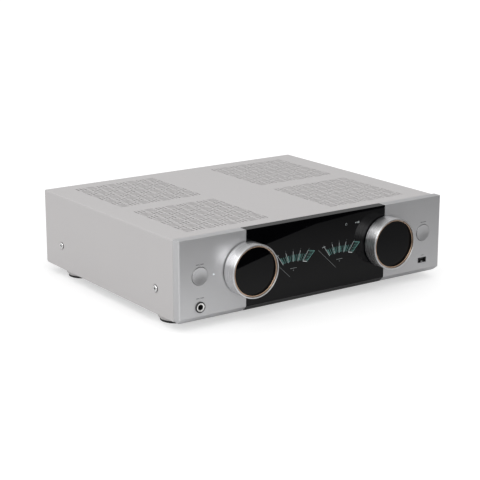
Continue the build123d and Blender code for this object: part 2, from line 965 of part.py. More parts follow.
# Feet: a turned cup, a rubber pad let into it and a screw up into the floor
pad_top_z = pad_proud + foot_seat
cup_hole_z = pad_top_z + foot_screw_floor
with BuildPart() as foot_cups:
    for foot_x_place, foot_y_place in foot_places:
        with BuildSketch(Plane.XZ.offset(-foot_y_place)):
            with BuildLine():
                Polyline(
                    (foot_x_place + foot_screw_radius + fit_gap, base_z),
                    (foot_x_place + foot_top_radius, base_z),
                    (foot_x_place + foot_top_radius, base_z - foot_neck_height),
                )
                ThreePointArc(
                    (foot_x_place + foot_top_radius, base_z - foot_neck_height),
                    (
                        foot_x_place + foot_top_radius - (foot_top_radius - foot_neck_radius) / 3,
                        (base_z - foot_neck_height + pad_proud) / 2,
                    ),
                    (foot_x_place + foot_neck_radius, pad_proud),
                )
                Polyline(
                    (foot_x_place + foot_neck_radius, pad_proud),
                    (foot_x_place + pad_radius + fit_gap, pad_proud),
                    (foot_x_place + pad_radius + fit_gap, pad_top_z),
                    (foot_x_place + foot_screw_head_radius + fit_gap, pad_top_z),
                    (foot_x_place + foot_screw_head_radius + fit_gap, cup_hole_z),
                    (foot_x_place + foot_screw_radius + fit_gap, cup_hole_z),
                    (foot_x_place + foot_screw_radius + fit_gap, base_z),
                )
            make_face()
        revolve(axis=Axis((foot_x_place, foot_y_place, 0), (0, 0, 1)))
save(foot_cups, "foot_cups")

with BuildPart() as foot_pads:
    with BuildSketch(Plane.XY):
        with Locations(*foot_places):
            Circle(pad_radius)
            Circle(pad_hole_radius, mode=Mode.SUBTRACT)
    extrude(amount=pad_top_z)
save(foot_pads, "foot_pads")

with BuildPart() as foot_screws:
    with BuildSketch(Plane.XY.offset(cup_hole_z - foot_screw_head)):
        with Locations(*foot_places):
            Circle(foot_screw_head_radius)
    extrude(amount=foot_screw_head)
    with BuildSketch(Plane.XY.offset(cup_hole_z)):
        with Locations(*foot_places):
            Circle(foot_screw_radius)
    extrude(amount=floor_z + foot_screw_reach - cup_hole_z)
save(foot_screws, "foot_screws")

# Cover screws: round heads with a cross recess, in dished holes
with BuildPart() as cover_screws:
    for flank in left_to_right:
        for screw_y in cover_screw_ys:
            with BuildSketch(side_plane(flank, screw_y, cover_screw_z).offset(-dish_depth)):
                Circle(cover_screw_head_radius)
            extrude(amount=cover_screw_head)
    fillet(
        cover_screws.faces().sort_by(Axis.X)[0:2].edges()
        + cover_screws.faces().sort_by(Axis.X)[-2:].edges(),
        cover_screw_round,
    )
    for flank in left_to_right:
        for screw_y in cover_screw_ys:
            head_plane = side_plane(flank, screw_y, cover_screw_z).offset(-dish_depth)
            with BuildSketch(head_plane):
                Circle(cover_screw_radius)
            extrude(amount=-cover_screw_length)
            with BuildSketch(head_plane.offset(cover_screw_head)):
                Rectangle(cross_length, cross_width)
                Rectangle(cross_width, cross_length)
            extrude(amount=-cross_depth, mode=Mode.SUBTRACT)
save(cover_screws, "cover_screws")

# Rear panel: flat sheet with a top flange and a cut-out for each socket
phono_places = [
    (
        phono_x + (column - (phono_columns - 1) / 2) * phono_pitch_x,
        base_z + phono_low_height + row * phono_pitch_z,
    )
    for column in range(phono_columns)
    for row in range(2)
]
inlet_z = base_z + inlet_height
ethernet_z = board_top_z + ethernet_height / 2
hdmi_z = board_top_z + hdmi_height / 2
with BuildPart() as rear_panel:
    with BuildSketch(front_plane(rear_outer_y)):
        with Locations((0, base_z)):
            Rectangle(
                rear_width,
                ceiling_z - base_z - sheet_gap,
                align=(Align.CENTER, Align.MIN),
            )
        with Locations((inlet_x, inlet_z)):
            Rectangle(
                inlet_body_width + 2 * seam_gap,
                inlet_body_height + 2 * seam_gap,
                mode=Mode.SUBTRACT,
            )
        with Locations((ethernet_x, ethernet_z)):
            Rectangle(
                ethernet_width + 2 * loose_gap,
                ethernet_height + 2 * loose_gap,
                mode=Mode.SUBTRACT,
            )
        with Locations((hdmi_x, hdmi_z)):
            Rectangle(
                hdmi_width + 2 * loose_gap,
                hdmi_height + 2 * loose_gap,
                mode=Mode.SUBTRACT,
            )
        with Locations((rear_usb_x, board_top_z + usb_height / 2)):
            Rectangle(usb_width + 2 * loose_gap, usb_height + 2 * loose_gap, mode=Mode.SUBTRACT)
        with Locations(*phono_places):
            Circle(phono_radius + loose_gap, mode=Mode.SUBTRACT)
        with Locations(*[(x, speaker_z) for x in speaker_xs]):
            Circle(post_nut_radius, mode=Mode.SUBTRACT)
        with Locations(*[(side * antenna_x, antenna_z) for side in left_to_right]):
            Circle(antenna_hole_radius, mode=Mode.SUBTRACT)
        with Locations(*rear_screw_places):
            Circle(screw_radius + fit_gap, mode=Mode.SUBTRACT)
    extrude(amount=rear_sheet)
    with Locations((0, rear_inner_y, ceiling_z - sheet_gap)):
        Box(
            rear_width,
            rear_flange_depth,
            rear_sheet,
            align=(Align.CENTER, Align.MAX, Align.MAX),
        )
save(rear_panel, "rear_panel")

# Small screws: eight into the front panel's bosses and three in the rear panel
with BuildPart() as chassis_screws:
    front_screw_places = [(side * x, z) for side in left_to_right for x, z in boss_places]
    with BuildSketch(front_plane(subchassis_back_y + screw_head)):
        with Locations(*front_screw_places):
            Circle(screw_head_radius)
    extrude(amount=screw_head)
    with BuildSketch(front_plane(subchassis_back_y)):
        with Locations(*front_screw_places):
            Circle(screw_radius)
    extrude(amount=screw_length)
    with BuildSketch(front_plane(rear_outer_y + screw_head)):
        with Locations(*rear_screw_places):
            Circle(screw_head_radius)
    extrude(amount=screw_head)
    with BuildSketch(front_plane(rear_outer_y)):
        with Locations(*rear_screw_places):
            Circle(screw_radius)
    extrude(amount=rear_screw_length)
save(chassis_screws, "chassis_screws")

# Mains inlet and its three blades
with BuildPart() as power_inlet:
    with Locations(mouth_plane(inlet_x, rear_outer_y, inlet_z, 1)):
        Box(
            inlet_flange_width,
            inlet_flange_height,
            inlet_flange,
            align=(Align.CENTER, Align.CENTER, Align.MIN),
        )
        Box(
            inlet_body_width,
            inlet_body_height,
            inlet_body_depth,
            align=(Align.CENTER, Align.CENTER, Align.MAX),
        )
    with BuildSketch(mouth_plane(inlet_x, rear_outer_y + inlet_flange, inlet_z, 1)) as cavity:
        Rectangle(inlet_cavity_width, inlet_cavity_height)
        chamfer(cavity.vertices().group_by(Axis.Y)[-1], inlet_bevel)
    extrude(amount=-inlet_cavity_depth, mode=Mode.SUBTRACT)
save(power_inlet, "power_inlet")

with BuildPart() as power_inlet_blades:
    inlet_floor = mouth_plane(inlet_x, rear_outer_y + inlet_flange - inlet_cavity_depth, inlet_z, 1)
    with BuildSketch(inlet_floor):
        with Locations(
            (-blade_spacing, -blade_offset),
            (blade_spacing, -blade_offset),
            (0, blade_offset),
        ):
            Rectangle(blade_width, blade_height)
    extrude(amount=blade_length)
save(power_inlet_blades, "power_inlet_blades")

# Network and video sockets
with BuildPart() as ethernet_jack:
    with Locations(mouth_plane(ethernet_x, rear_outer_y + socket_proud, ethernet_z, 1)):
        Box(
            ethernet_width,
            ethernet_height,
            ethernet_depth,
            align=(Align.CENTER, Align.CENTER, Align.MAX),
        )
    with BuildSketch(
        mouth_plane(
            ethernet_x,
            rear_outer_y + socket_proud,
            board_top_z + ethernet_floor,
            1,
        )
    ):
        Rectangle(
            ethernet_mouth_width,
            ethernet_mouth_height,
            align=(Align.CENTER, Align.MIN),
        )
        with Locations((0, ethernet_mouth_height)):
            Rectangle(
                ethernet_latch_width,
                ethernet_latch_height,
                align=(Align.CENTER, Align.MIN),
            )
    extrude(amount=-ethernet_mouth_depth, mode=Mode.SUBTRACT)
save(ethernet_jack, "ethernet_jack")

with BuildPart() as hdmi_jack:
    hdmi_mouth = mouth_plane(hdmi_x, rear_outer_y + socket_proud, hdmi_z, 1)
    with Locations(hdmi_mouth):
        Box(hdmi_width, hdmi_height, hdmi_depth, align=(Align.CENTER, Align.CENTER, Align.MAX))
        Box(
            hdmi_width - 2 * hdmi_wall,
            hdmi_height - 2 * hdmi_wall,
            hdmi_depth - hdmi_back,
            align=(Align.CENTER, Align.CENTER, Align.MAX),
            mode=Mode.SUBTRACT,
        )
    with Locations(hdmi_mouth.offset(-hdmi_depth + hdmi_back)):
        Box(
            hdmi_tongue_width,
            hdmi_tongue,
            hdmi_depth - 2 * hdmi_back,
            align=(Align.CENTER, Align.CENTER, Align.MIN),
        )
save(hdmi_jack, "hdmi_jack")

# Phono sockets in two rows
with BuildPart() as phono_jacks:
    with BuildSketch(front_plane(rear_inner_y)):
        with Locations(*phono_places):
            Rectangle(phono_block, phono_block)
    extrude(amount=phono_block_depth)
    with BuildSketch(front_plane(rear_outer_y + phono_proud)):
        with Locations(*phono_places):
            Circle(phono_radius)
    extrude(amount=phono_proud + rear_sheet)
    with BuildSketch(front_plane(rear_outer_y + phono_collar)):
        with Locations(*phono_places):
            Circle(phono_collar_radius)
    extrude(amount=phono_collar)
    with BuildSketch(front_plane(rear_outer_y + phono_proud)):
        with Locations(*phono_places):
            Circle(phono_hole_radius)
    extrude(amount=phono_hole_depth, mode=Mode.SUBTRACT)
save(phono_jacks, "phono_jacks")

# Speaker terminals: a plate with collars, four posts and four screw-down caps
with BuildPart() as speaker_terminal_plate:
    with BuildSketch(front_plane(rear_outer_y + terminal_plate)):
        with Locations((speaker_centre_x, speaker_z)):
            RectangleRounded(terminal_plate_width, terminal_plate_height, terminal_plate_round)
        with Locations(*[(x, speaker_z) for x in speaker_xs]):
            Circle(post_radius + press_gap, mode=Mode.SUBTRACT)
    extrude(amount=terminal_plate)
    with BuildSketch(front_plane(rear_outer_y + terminal_plate + terminal_collar)):
        with Locations(*[(x, speaker_z) for x in speaker_xs]):
            Circle(terminal_collar_radius)
            Circle(post_radius + press_gap, mode=Mode.SUBTRACT)
    extrude(amount=terminal_collar)
save(speaker_terminal_plate, "speaker_terminal_plate")

with BuildPart() as speaker_posts:
    with BuildSketch(front_plane(rear_outer_y + post_proud)):
        with Locations(*[(x, speaker_z) for x in speaker_xs]):
            Circle(post_radius)
    extrude(amount=post_proud + post_inside)
    with BuildSketch(front_plane(rear_outer_y)):
        with Locations(*[(x, speaker_z) for x in speaker_xs]):
            Circle(post_nut_radius - loose_gap)
    extrude(amount=rear_sheet + post_nut)
    with BuildSketch(front_plane(rear_outer_y + post_proud)):
        with Locations(*[(x, speaker_z) for x in speaker_xs]):
            Circle(post_bore_radius)
    extrude(amount=post_bore_depth, mode=Mode.SUBTRACT)
save(speaker_posts, "speaker_posts")

cap_back_y = rear_outer_y + terminal_plate + terminal_collar + loose_gap
cap_length = rear_outer_y + post_proud - cap_end_gap - cap_back_y
cap_names = ("left_plus_cap", "left_minus_cap", "right_plus_cap", "right_minus_cap")
for post_x, name in zip(speaker_xs, cap_names):
    with BuildPart() as cap:
        with BuildSketch(front_plane(cap_back_y + cap_length)):
            with Locations((post_x, speaker_z)):
                Circle(cap_radius)
                Circle(post_radius + fit_gap, mode=Mode.SUBTRACT)
                with PolarLocations(cap_radius, cap_groove_count):
                    Circle(cap_groove_radius, mode=Mode.SUBTRACT)
        extrude(amount=cap_length)
    save(cap, name)

# Antennas: a drum that turns in the rear panel, with a rod that folds in its fork
drum_front_y = rear_outer_y + bushing_hole_gap
drum_back_y = drum_front_y + antenna_drum
knuckle_y = drum_back_y + loose_gap + antenna_knuckle_radius
fork_width = antenna_slot + 2 * antenna_ear
for side, name in ((left, "left_antenna"), (right, "right_antenna")):
    x = side * antenna_x
    with BuildPart() as base:
        with BuildSketch(front_plane(drum_back_y)):
            with Locations((x, antenna_z)):
                Circle(antenna_drum_radius)
        extrude(amount=antenna_drum)
        with BuildSketch(front_plane(drum_front_y)):
            with Locations((x, antenna_z)):
                Circle(antenna_hole_radius - fit_gap)
        extrude(amount=rear_sheet + 2 * bushing_hole_gap)
        with BuildSketch(front_plane(rear_inner_y - bushing_hole_gap)):
            with Locations((x, antenna_z)):
                Circle(antenna_retainer_radius)
        extrude(amount=antenna_retainer)
        with BuildSketch(Plane.YZ.offset(x - fork_width / 2)):
            with Locations((knuckle_y, antenna_z)):
                Circle(antenna_knuckle_radius)
            with Locations((drum_back_y, antenna_z)):
                Rectangle(
                    knuckle_y - drum_back_y,
                    2 * antenna_knuckle_radius,
                    align=(Align.MIN, Align.CENTER),
                )
        extrude(amount=fork_width)
        with BuildSketch(Plane.YZ.offset(x - antenna_slot / 2)):
            with Locations((drum_back_y, antenna_z)):
                Rectangle(
                    2 * (antenna_knuckle_radius + cut_overrun),
                    2 * (antenna_knuckle_radius + cut_overrun),
                    align=(Align.MIN, Align.CENTER),
                )
        extrude(amount=antenna_slot, mode=Mode.SUBTRACT)
        with BuildSketch(Plane.YZ.offset(x - fork_width / 2)):
            with Locations((knuckle_y, antenna_z)):
                Circle(antenna_pin_radius + fit_gap)
        extrude(amount=fork_width, mode=Mode.SUBTRACT)
    save(base, f"{name}_base")
    with BuildPart() as rod:
        with BuildSketch(Plane.YZ.offset(x - antenna_tongue / 2)):
            with Locations((knuckle_y, antenna_z)):
                Circle(antenna_knuckle_radius)
                Rectangle(
                    2 * antenna_knuckle_radius,
                    antenna_neck,
                    align=(Align.CENTER, Align.MAX),
                )
        extrude(amount=antenna_tongue)
        with BuildSketch(Plane.YZ.offset(x - fork_width / 2)):
            with Locations((knuckle_y, antenna_z)):
                Circle(antenna_pin_radius)
        extrude(amount=fork_width)
        with Locations((x, knuckle_y, antenna_z - antenna_neck)):
            Cone(
                antenna_tip_radius,
                antenna_rod_radius,
                antenna_rod_length - antenna_neck,
                align=(Align.CENTER, Align.CENTER, Align.MAX),
            )
    save(rod, f"{name}_rod")

# Boards on the floor, each held at its four corners
main_board_places = board_corners(
    main_board_x,
    main_board_back_y - main_board_depth / 2,
    main_board_width,
    main_board_depth,
)
amplifier_board_y = panel_back_y + amplifier_board_front + amplifier_board_depth / 2
amplifier_board_places = board_corners(
    amplifier_board_x,
    amplifier_board_y,
    amplifier_board_width,
    amplifier_board_depth,
)
power_board_places = board_corners(
    power_board_x,
    power_board_y,
    power_board_width,
    power_board_depth,
)
support_places = main_board_places + amplifier_board_places + power_board_places
board_bottom_z = floor_z + support_height

with BuildPart() as board_supports:
    with BuildSketch(Plane.XY.offset(floor_z)):
        with Locations(*support_places):
            RegularPolygon(support_radius, 6)
    extrude(amount=support_height)
    with BuildSketch(Plane.XY.offset(board_bottom_z)):
        with Locations(*support_places):
            Circle(stud_radius)
    extrude(amount=board_thickness)
    with BuildSketch(Plane.XY.offset(board_top_z)):
        with Locations(*support_places):
            Circle(screw_head_radius)
    extrude(amount=screw_head)
save(board_supports, "board_supports")

chip_shares = ((-0.3, -0.25, 0.14), (0.05, -0.2, 0.18), (0.32, -0.3, 0.1), (0.3, 0.05, 0.12))
with BuildPart() as main_board:
    with BuildSketch(Plane.XY.offset(board_bottom_z)):
        with Locations((main_board_x, main_board_back_y - main_board_depth / 2)):
            Rectangle(main_board_width, main_board_depth)
        with Locations(*main_board_places):
            Circle(stud_radius + fit_gap, mode=Mode.SUBTRACT)
    extrude(amount=board_thickness)
    with BuildSketch(Plane.XY.offset(board_top_z)):
        for share_x, share_y, share_side in chip_shares:
            with Locations(
                (
                    main_board_x + share_x * main_board_width,
                    main_board_back_y + (share_y - 1 / 2) * main_board_depth,
                )
            ):
                Rectangle(share_side * main_board_width, share_side * main_board_width)
    extrude(amount=chip_height)
save(main_board, "main_board")

with BuildPart() as network_module:
    module_y = main_board_back_y - module_back
    module_x_place = main_board_x + module_x
    module_z = board_top_z + module_lift
    with Locations(
        *[
            (module_x_place + side * (module_width - header_width) / 2, module_y, board_top_z)
            for side in left_to_right
        ]
    ):
        Box(
            header_width,
            module_depth,
            module_lift,
            align=(Align.CENTER, Align.CENTER, Align.MIN),
        )
    with Locations((module_x_place, module_y, module_z)):
        Box(
            module_width,
            module_depth,
            board_thickness,
            align=(Align.CENTER, Align.CENTER, Align.MIN),
        )
    with Locations((module_x_place, module_y, module_z + board_thickness)):
        Box(
            module_width - 2 * can_inset,
            module_depth - 2 * can_inset,
            can_height,
            align=(Align.CENTER, Align.CENTER, Align.MIN),
        )
save(network_module, "network_module")

with BuildPart() as amplifier_board:
    with BuildSketch(Plane.XY.offset(board_bottom_z)):
        with Locations((amplifier_board_x, amplifier_board_y)):
            Rectangle(amplifier_board_width, amplifier_board_depth)
        with Locations(*amplifier_board_places):
            Circle(stud_radius + fit_gap, mode=Mode.SUBTRACT)
    extrude(amount=board_thickness)
    with BuildSketch(Plane.XY.offset(board_top_z)):
        with Locations((amplifier_board_x + amplifier_board_width / 4, amplifier_board_y)):
            with GridLocations(0, transistor_pitch, 1, transistor_count):
                Circle(film_capacitor_radius)
    extrude(amount=film_capacitor_height)
save(amplifier_board, "amplifier_board")

with BuildPart() as power_board:
    with BuildSketch(Plane.XY.offset(board_bottom_z)):
        with Locations((power_board_x, power_board_y)):
            Rectangle(power_board_width, power_board_depth)
        with Locations(*power_board_places):
            Circle(stud_radius + fit_gap, mode=Mode.SUBTRACT)
    extrude(amount=board_thickness)
save(power_board, "power_board")

with BuildPart() as reservoir_capacitors:
    with BuildSketch(Plane.XY.offset(board_top_z)):
        with Locations((power_board_x, power_board_y)):
            with GridLocations(capacitor_pitch_x, capacitor_pitch_y, 2, 2):
                Circle(capacitor_radius)
    extrude(amount=capacitor_height)
    fillet(
        reservoir_capacitors.faces().group_by(Axis.Z)[-1].edges(),
        capacitor_round,
    )
save(reservoir_capacitors, "reservoir_capacitors")

# Heatsink with upright fins, and the output transistors on its flat side
heatsink_y = panel_back_y + heatsink_front + heatsink_length / 2
with BuildPart() as heatsink:
    with BuildSketch(Plane.XY.offset(floor_z)):
        with Locations((heatsink_x, heatsink_y)):
            Rectangle(heatsink_plate, heatsink_length, align=(Align.MAX, Align.CENTER))
        with Locations((heatsink_x - heatsink_plate, heatsink_y)):
            with GridLocations(
                0,
                (heatsink_length - fin_thickness) / (fin_count - 1),
                1,
                fin_count,
            ):
                Rectangle(fin_depth, fin_thickness, align=(Align.MAX, Align.CENTER))
    extrude(amount=heatsink_height)
save(heatsink, "heatsink")

with BuildPart() as output_transistors:
    transistor_z = board_top_z + transistor_rise
    with BuildSketch(Plane.XY.offset(transistor_z)):
        with Locations((heatsink_x, amplifier_board_y)):
            with GridLocations(0, transistor_pitch, 1, transistor_count):
                Rectangle(
                    transistor_thickness,
                    transistor_width,
                    align=(Align.MIN, Align.CENTER),
                )
    extrude(amount=transistor_height)
    with BuildSketch(Plane.XY.offset(board_top_z)):
        with Locations((heatsink_x + transistor_thickness / 2, amplifier_board_y)):
            with GridLocations(0, transistor_pitch, 1, transistor_count):
                with GridLocations(0, leg_pitch, 1, 3):
                    Rectangle(leg_width, leg_width)
    extrude(amount=transistor_rise)
save(output_transistors, "output_transistors")

# Toroidal transformer, held down by a dished plate and a bolt
toroid_y = panel_back_y + toroid_front
with BuildPart() as toroidal_transformer:
    with BuildSketch(Plane.XZ.offset(-toroid_y)) as toroid_section:
        with Locations((toroid_x + (toroid_radius + toroid_hole_radius) / 2, floor_z)):
            Rectangle(
                toroid_radius - toroid_hole_radius,
                toroid_height,
                align=(Align.CENTER, Align.MIN),
            )
        fillet(toroid_section.vertices(), toroid_round)
    revolve(axis=Axis((toroid_x, toroid_y, 0), (0, 0, 1)))
save(toroidal_transformer, "toroidal_transformer")

with BuildPart() as transformer_clamp:
    with BuildSketch(Plane.XY.offset(floor_z + toroid_height)):
        with Locations((toroid_x, toroid_y)):
            Circle(clamp_radius)
    extrude(amount=clamp_thickness)
    with BuildSketch(Plane.XY.offset(floor_z)):
        with Locations((toroid_x, toroid_y)):
            Circle(bolt_radius)
    extrude(amount=toroid_height)
    with BuildSketch(Plane.XY.offset(floor_z + toroid_height + clamp_thickness)):
        with Locations((toroid_x, toroid_y)):
            RegularPolygon(bolt_head_radius, 6)
    extrude(amount=bolt_head)
save(transformer_clamp, "transformer_clamp")
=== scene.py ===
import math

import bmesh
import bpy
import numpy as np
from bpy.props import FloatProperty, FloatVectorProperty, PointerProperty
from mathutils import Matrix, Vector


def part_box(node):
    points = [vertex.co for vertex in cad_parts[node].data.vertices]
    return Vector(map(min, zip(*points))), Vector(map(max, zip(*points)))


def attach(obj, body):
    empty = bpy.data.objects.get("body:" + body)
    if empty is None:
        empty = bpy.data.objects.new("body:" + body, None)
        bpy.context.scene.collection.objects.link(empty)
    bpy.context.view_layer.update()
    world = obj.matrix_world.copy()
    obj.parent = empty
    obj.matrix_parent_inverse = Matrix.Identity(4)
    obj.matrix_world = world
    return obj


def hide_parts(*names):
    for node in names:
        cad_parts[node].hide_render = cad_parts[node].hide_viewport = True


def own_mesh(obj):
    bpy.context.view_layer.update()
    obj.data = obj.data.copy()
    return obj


bl_info = {
    "name": "Network music streamer",
    "version": (1, 0, 0),
    "blender": (4, 5, 0),
    "location": "3D View > Sidebar > Streamer",
    "description": "Finishes and fine pieces for a network music streamer, built around its packed solids",
    "category": "Object",
}

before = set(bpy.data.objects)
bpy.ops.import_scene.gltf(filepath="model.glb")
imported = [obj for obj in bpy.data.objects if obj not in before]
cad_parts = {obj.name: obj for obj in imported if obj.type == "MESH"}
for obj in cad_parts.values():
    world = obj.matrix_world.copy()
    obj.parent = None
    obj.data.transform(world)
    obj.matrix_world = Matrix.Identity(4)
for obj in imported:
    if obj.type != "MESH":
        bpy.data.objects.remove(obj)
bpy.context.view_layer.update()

MM = 0.001
FULL_TURN = 2 * math.pi
CHASSIS = "chassis"
FACING = {"front": -1, "rear": 1}
# Points closer than the first are one, edges shorter than the second go, and print is this thick
MERGED = 0.001 * MM
SLIVER = 0.0005 * MM
SKIN = 0.02 * MM


# Node trees: sockets with arithmetic, and one method that adds every node
class Value:
    """One output socket of a node. Arithmetic on it adds Math nodes to its tree."""

    def __init__(self, tree, socket):
        self.tree = tree
        self.socket = socket

    def math(self, operation, *terms):
        return self.tree.node("ShaderNodeMath", {"operation": operation}, dict(enumerate(terms)))

    def output(self, name):
        return Value(self.tree, self.socket.node.outputs[name])

    def __add__(self, other):
        return self.math("ADD", self, other)

    def __sub__(self, other):
        return self.math("SUBTRACT", self, other)

    def __rsub__(self, other):
        return self.math("SUBTRACT", other, self)

    def __mul__(self, other):
        return self.math("MULTIPLY", self, other)

    def __pow__(self, other):
        return self.math("POWER", self, other)

    def __rpow__(self, other):
        return self.math("POWER", other, self)

    def __gt__(self, other):
        return self.math("GREATER_THAN", self, other)

    def __lt__(self, other):
        return self.math("LESS_THAN", self, other)

    __radd__ = __add__
    __rmul__ = __mul__


class Tree:
    """A node tree and the ways in which its nodes are made."""

    def __init__(self, nodes_owner):
        nodes_owner.use_nodes = True
        self.tree = nodes_owner.node_tree
        self.tree.nodes.clear()

    def put(self, socket, value):
        if isinstance(value, Value):
            self.tree.links.new(value.socket, socket)
        else:
            socket.default_value = value

    def node(self, kind, settings=None, inputs=None, output=0):
        """Adds one node: its type, then its settings, then the values or links of its sockets."""
        made = self.tree.nodes.new(kind)
        for key, value in (settings or {}).items():
            if key == "stops":
                self.set_stops(made.color_ramp.elements, value)
            else:
                setattr(made, key, value)
        for key, value in (inputs or {}).items():
            self.put(made.inputs[key], value)
        return Value(self, made.outputs[output]) if made.outputs else made

    def set_stops(self, elements, stops):
        while len(elements) < len(stops):
            elements.new(1.0)
        for element, (position, colour) in zip(elements, stops):
            element.position = position
            element.color = colour

    def blend(self, factor, first, second):
        """A colour between two others."""
        return self.node(
            "ShaderNodeMix", {"data_type": "RGBA"}, {0: factor, 6: first, 7: second}, 2
        )

    def place(self, centre=(0, 0, 0), scale=(1, 1, 1)):
        """Object coordinates, centred on a point and stretched."""
        shift = tuple(-c * s for c, s in zip(centre, scale))
        position = self.node("ShaderNodeTexCoord", output="Object")
        return self.node(
            "ShaderNodeMapping", None, {"Vector": position, "Location": shift, "Scale": scale}
        )

    def noise(self, size, detail=2.0, vector=None, roughness=0.5):
        """Smooth noise from 0 to 1 whose lumps measure about one size across."""
        return self.node(
            "ShaderNodeTexNoise",
            None,
            {
                "Vector": vector or self.place(),
                "Scale": 1 / size,
                "Detail": detail,
                "Roughness": roughness,
            },
        )

    def split(self, vector=None):
        """The X of a vector, or of the object coordinates. Its other outputs are Y and Z."""
        return self.node("ShaderNodeSeparateXYZ", None, {"Vector": vector or self.place()})

    def remap(self, value, first, last, at_first, at_last):
        """Carries a value from the range of first to last to the range of at_first to at_last."""
        ends = {"From Min": first, "From Max": last, "To Min": at_first, "To Max": at_last}
        return self.node("ShaderNodeMapRange", None, {"Value": value, **ends})

    def between(self, value, low, high):
        """Carries a value of 0 to 1 to the range from low to high."""
        return value * (high - low) + low


class Finish(Tree):
    """A material with one Principled shader."""

    def __init__(self, name, colour, roughness, metallic=0.0, **constants):
        self.material = bpy.data.materials.new(name)
        super().__init__(self.material)
        self.shader = self.tree.nodes.new("ShaderNodeBsdfPrincipled")
        self.colour = (*colour, 1.0)
        self.set("Base Color", self.colour)
        self.set("Roughness", roughness)
        self.set("Metallic", metallic)
        for key, value in constants.items():
            self.set(key.replace("_", " ").title().replace("Ior", "IOR"), value)
        self.node("ShaderNodeOutputMaterial", None, {"Surface": Value(self, self.shader.outputs[0])})

    def set(self, socket, value):
        self.put(self.shader.inputs[socket], value)

    def relief(self, height, depth, strength=1.0):
        """Raises the surface by depth where height is 1."""
        self.set(
            "Normal",
            self.node(
                "ShaderNodeBump",
                None,
                {"Height": height, "Distance": depth, "Strength": strength},
            ),
        )

    def mottle(self, amount, size, detail=3.0):
        """Varies the base colour by a share of itself, in lumps of one size."""
        darker = tuple(c * (1 - amount) for c in self.colour[:3]) + (1.0,)
        lighter = tuple(min(1.0, c * (1 + amount)) for c in self.colour[:3]) + (1.0,)
        mixed = self.blend(self.noise(size, detail), darker, lighter)
        self.set("Base Color", mixed)
        return mixed


# Surfaces as numpy arrays
def grid_quads(rows, columns, wrap_rows=False, wrap_columns=False):
    """Quads of a grid of points: each joins point (i, j) to (i+1, j), (i+1, j+1) and (i, j+1)."""
    i, j = np.meshgrid(
        np.arange(rows if wrap_rows else rows - 1),
        np.arange(columns if wrap_columns else columns - 1),
        indexing="ij",
    )
    below = (i + 1) % rows
    beside = (j + 1) % columns
    corners = (i * columns + j, below * columns + j, below * columns + beside, i * columns + beside)
    return np.stack(corners, -1).reshape(-1, 4)


def joined(surfaces):
    """Several surfaces as one: points are stacked and face numbers move up by the points before."""
    counts = np.cumsum([0] + [len(points) for points, _ in surfaces])
    points = np.concatenate([points for points, _ in surfaces])
    faces = np.concatenate([faces + start for (_, faces), start in zip(surfaces, counts)])
    return points, faces


def rounded(corners, radii, steps=5):
    """A closed profile whose corners are arcs. At a corner with turn a and radius r the arc runs
    between the tangent points, which lie r tan(a/2) to each side, by turning one spoke to the other."""
    corners = np.asarray(corners, float)
    radii = np.broadcast_to(np.asarray(radii, float), len(corners))[:, None]
    before = corners - np.roll(corners, 1, axis=0)
    after = np.roll(corners, -1, axis=0) - corners
    before /= np.linalg.norm(before, axis=1, keepdims=True)
    after /= np.linalg.norm(after, axis=1, keepdims=True)
    turn = np.arccos(np.clip((before * after).sum(1, keepdims=True), -1, 1))
    start = corners - before * radii * np.tan(turn / 2)
    end = corners + after * radii * np.tan(turn / 2)
    middle = corners + (after - before) / np.linalg.norm(after - before, axis=1, keepdims=True) * (
        radii / np.cos(turn / 2)
    )
    t = np.linspace(0, 1, steps)[None, :, None]
    sweep = turn[:, :, None]
    spokes = np.sin((1 - t) * sweep) * (start - middle)[:, None]
    spokes = (spokes + np.sin(t * sweep) * (end - middle)[:, None]) / np.sin(sweep)
    return (middle[:, None] + spokes).reshape(-1, 2)


def tube(outer, inner, start, stop):
    """The corners of a tube's section, as (radius, height) in turn."""
    return [(outer, start), (outer, stop), (inner, stop), (inner, start)]


def rectangle(left, bottom, right, top):
    """The corners of a rectangle, in turn."""
    return [(left, bottom), (right, bottom), (right, top), (left, top)]


def to_front(corners):
    """Corners (radius, y) as (radius, height), with the height counted towards the front."""
    return [(radius, -y) for radius, y in corners]


AXES = {
    "+X": ((0, 1, 0), (0, 0, 1), (1, 0, 0)),
    "-X": ((0, -1, 0), (0, 0, 1), (-1, 0, 0)),
    "+Y": ((-1, 0, 0), (0, 0, 1), (0, 1, 0)),
    "-Y": ((1, 0, 0), (0, 0, 1), (0, -1, 0)),
    "+Z": ((1, 0, 0), (0, 1, 0), (0, 0, 1)),
    "-Z": ((1, 0, 0), (0, -1, 0), (0, 0, -1)),
}


def turned(profile, centre, axis="-Y", steps=128, ripple=None):
    """A turned surface: the point (r, h) of a closed profile goes to centre + r (cos a, sin a)
    across the axis + h along it, with a from 0 to a full turn. ripple(a, r, h) scales r."""
    profile = np.asarray(profile, float)
    across, up, along = (np.array(v, float) for v in AXES[axis])
    angle = np.linspace(0, FULL_TURN, steps, endpoint=False)[:, None]
    radius = np.broadcast_to(profile[:, 0], (steps, len(profile)))
    height = np.broadcast_to(profile[:, 1], (steps, len(profile)))
    if ripple:
        radius = radius * ripple(angle, radius, height)
    points = (
        np.array(centre, float)
        + (radius * np.cos(angle))[..., None] * across
        + (radius * np.sin(angle))[..., None] * up
        + height[..., None] * along
    )
    return points.reshape(-1, 3), grid_quads(steps, len(profile), True, True)


BOX_FACES = np.array(
    [[0, 1, 3, 2], [4, 6, 7, 5], [0, 4, 5, 1], [2, 3, 7, 6], [0, 2, 6, 4], [1, 5, 7, 3]]
)


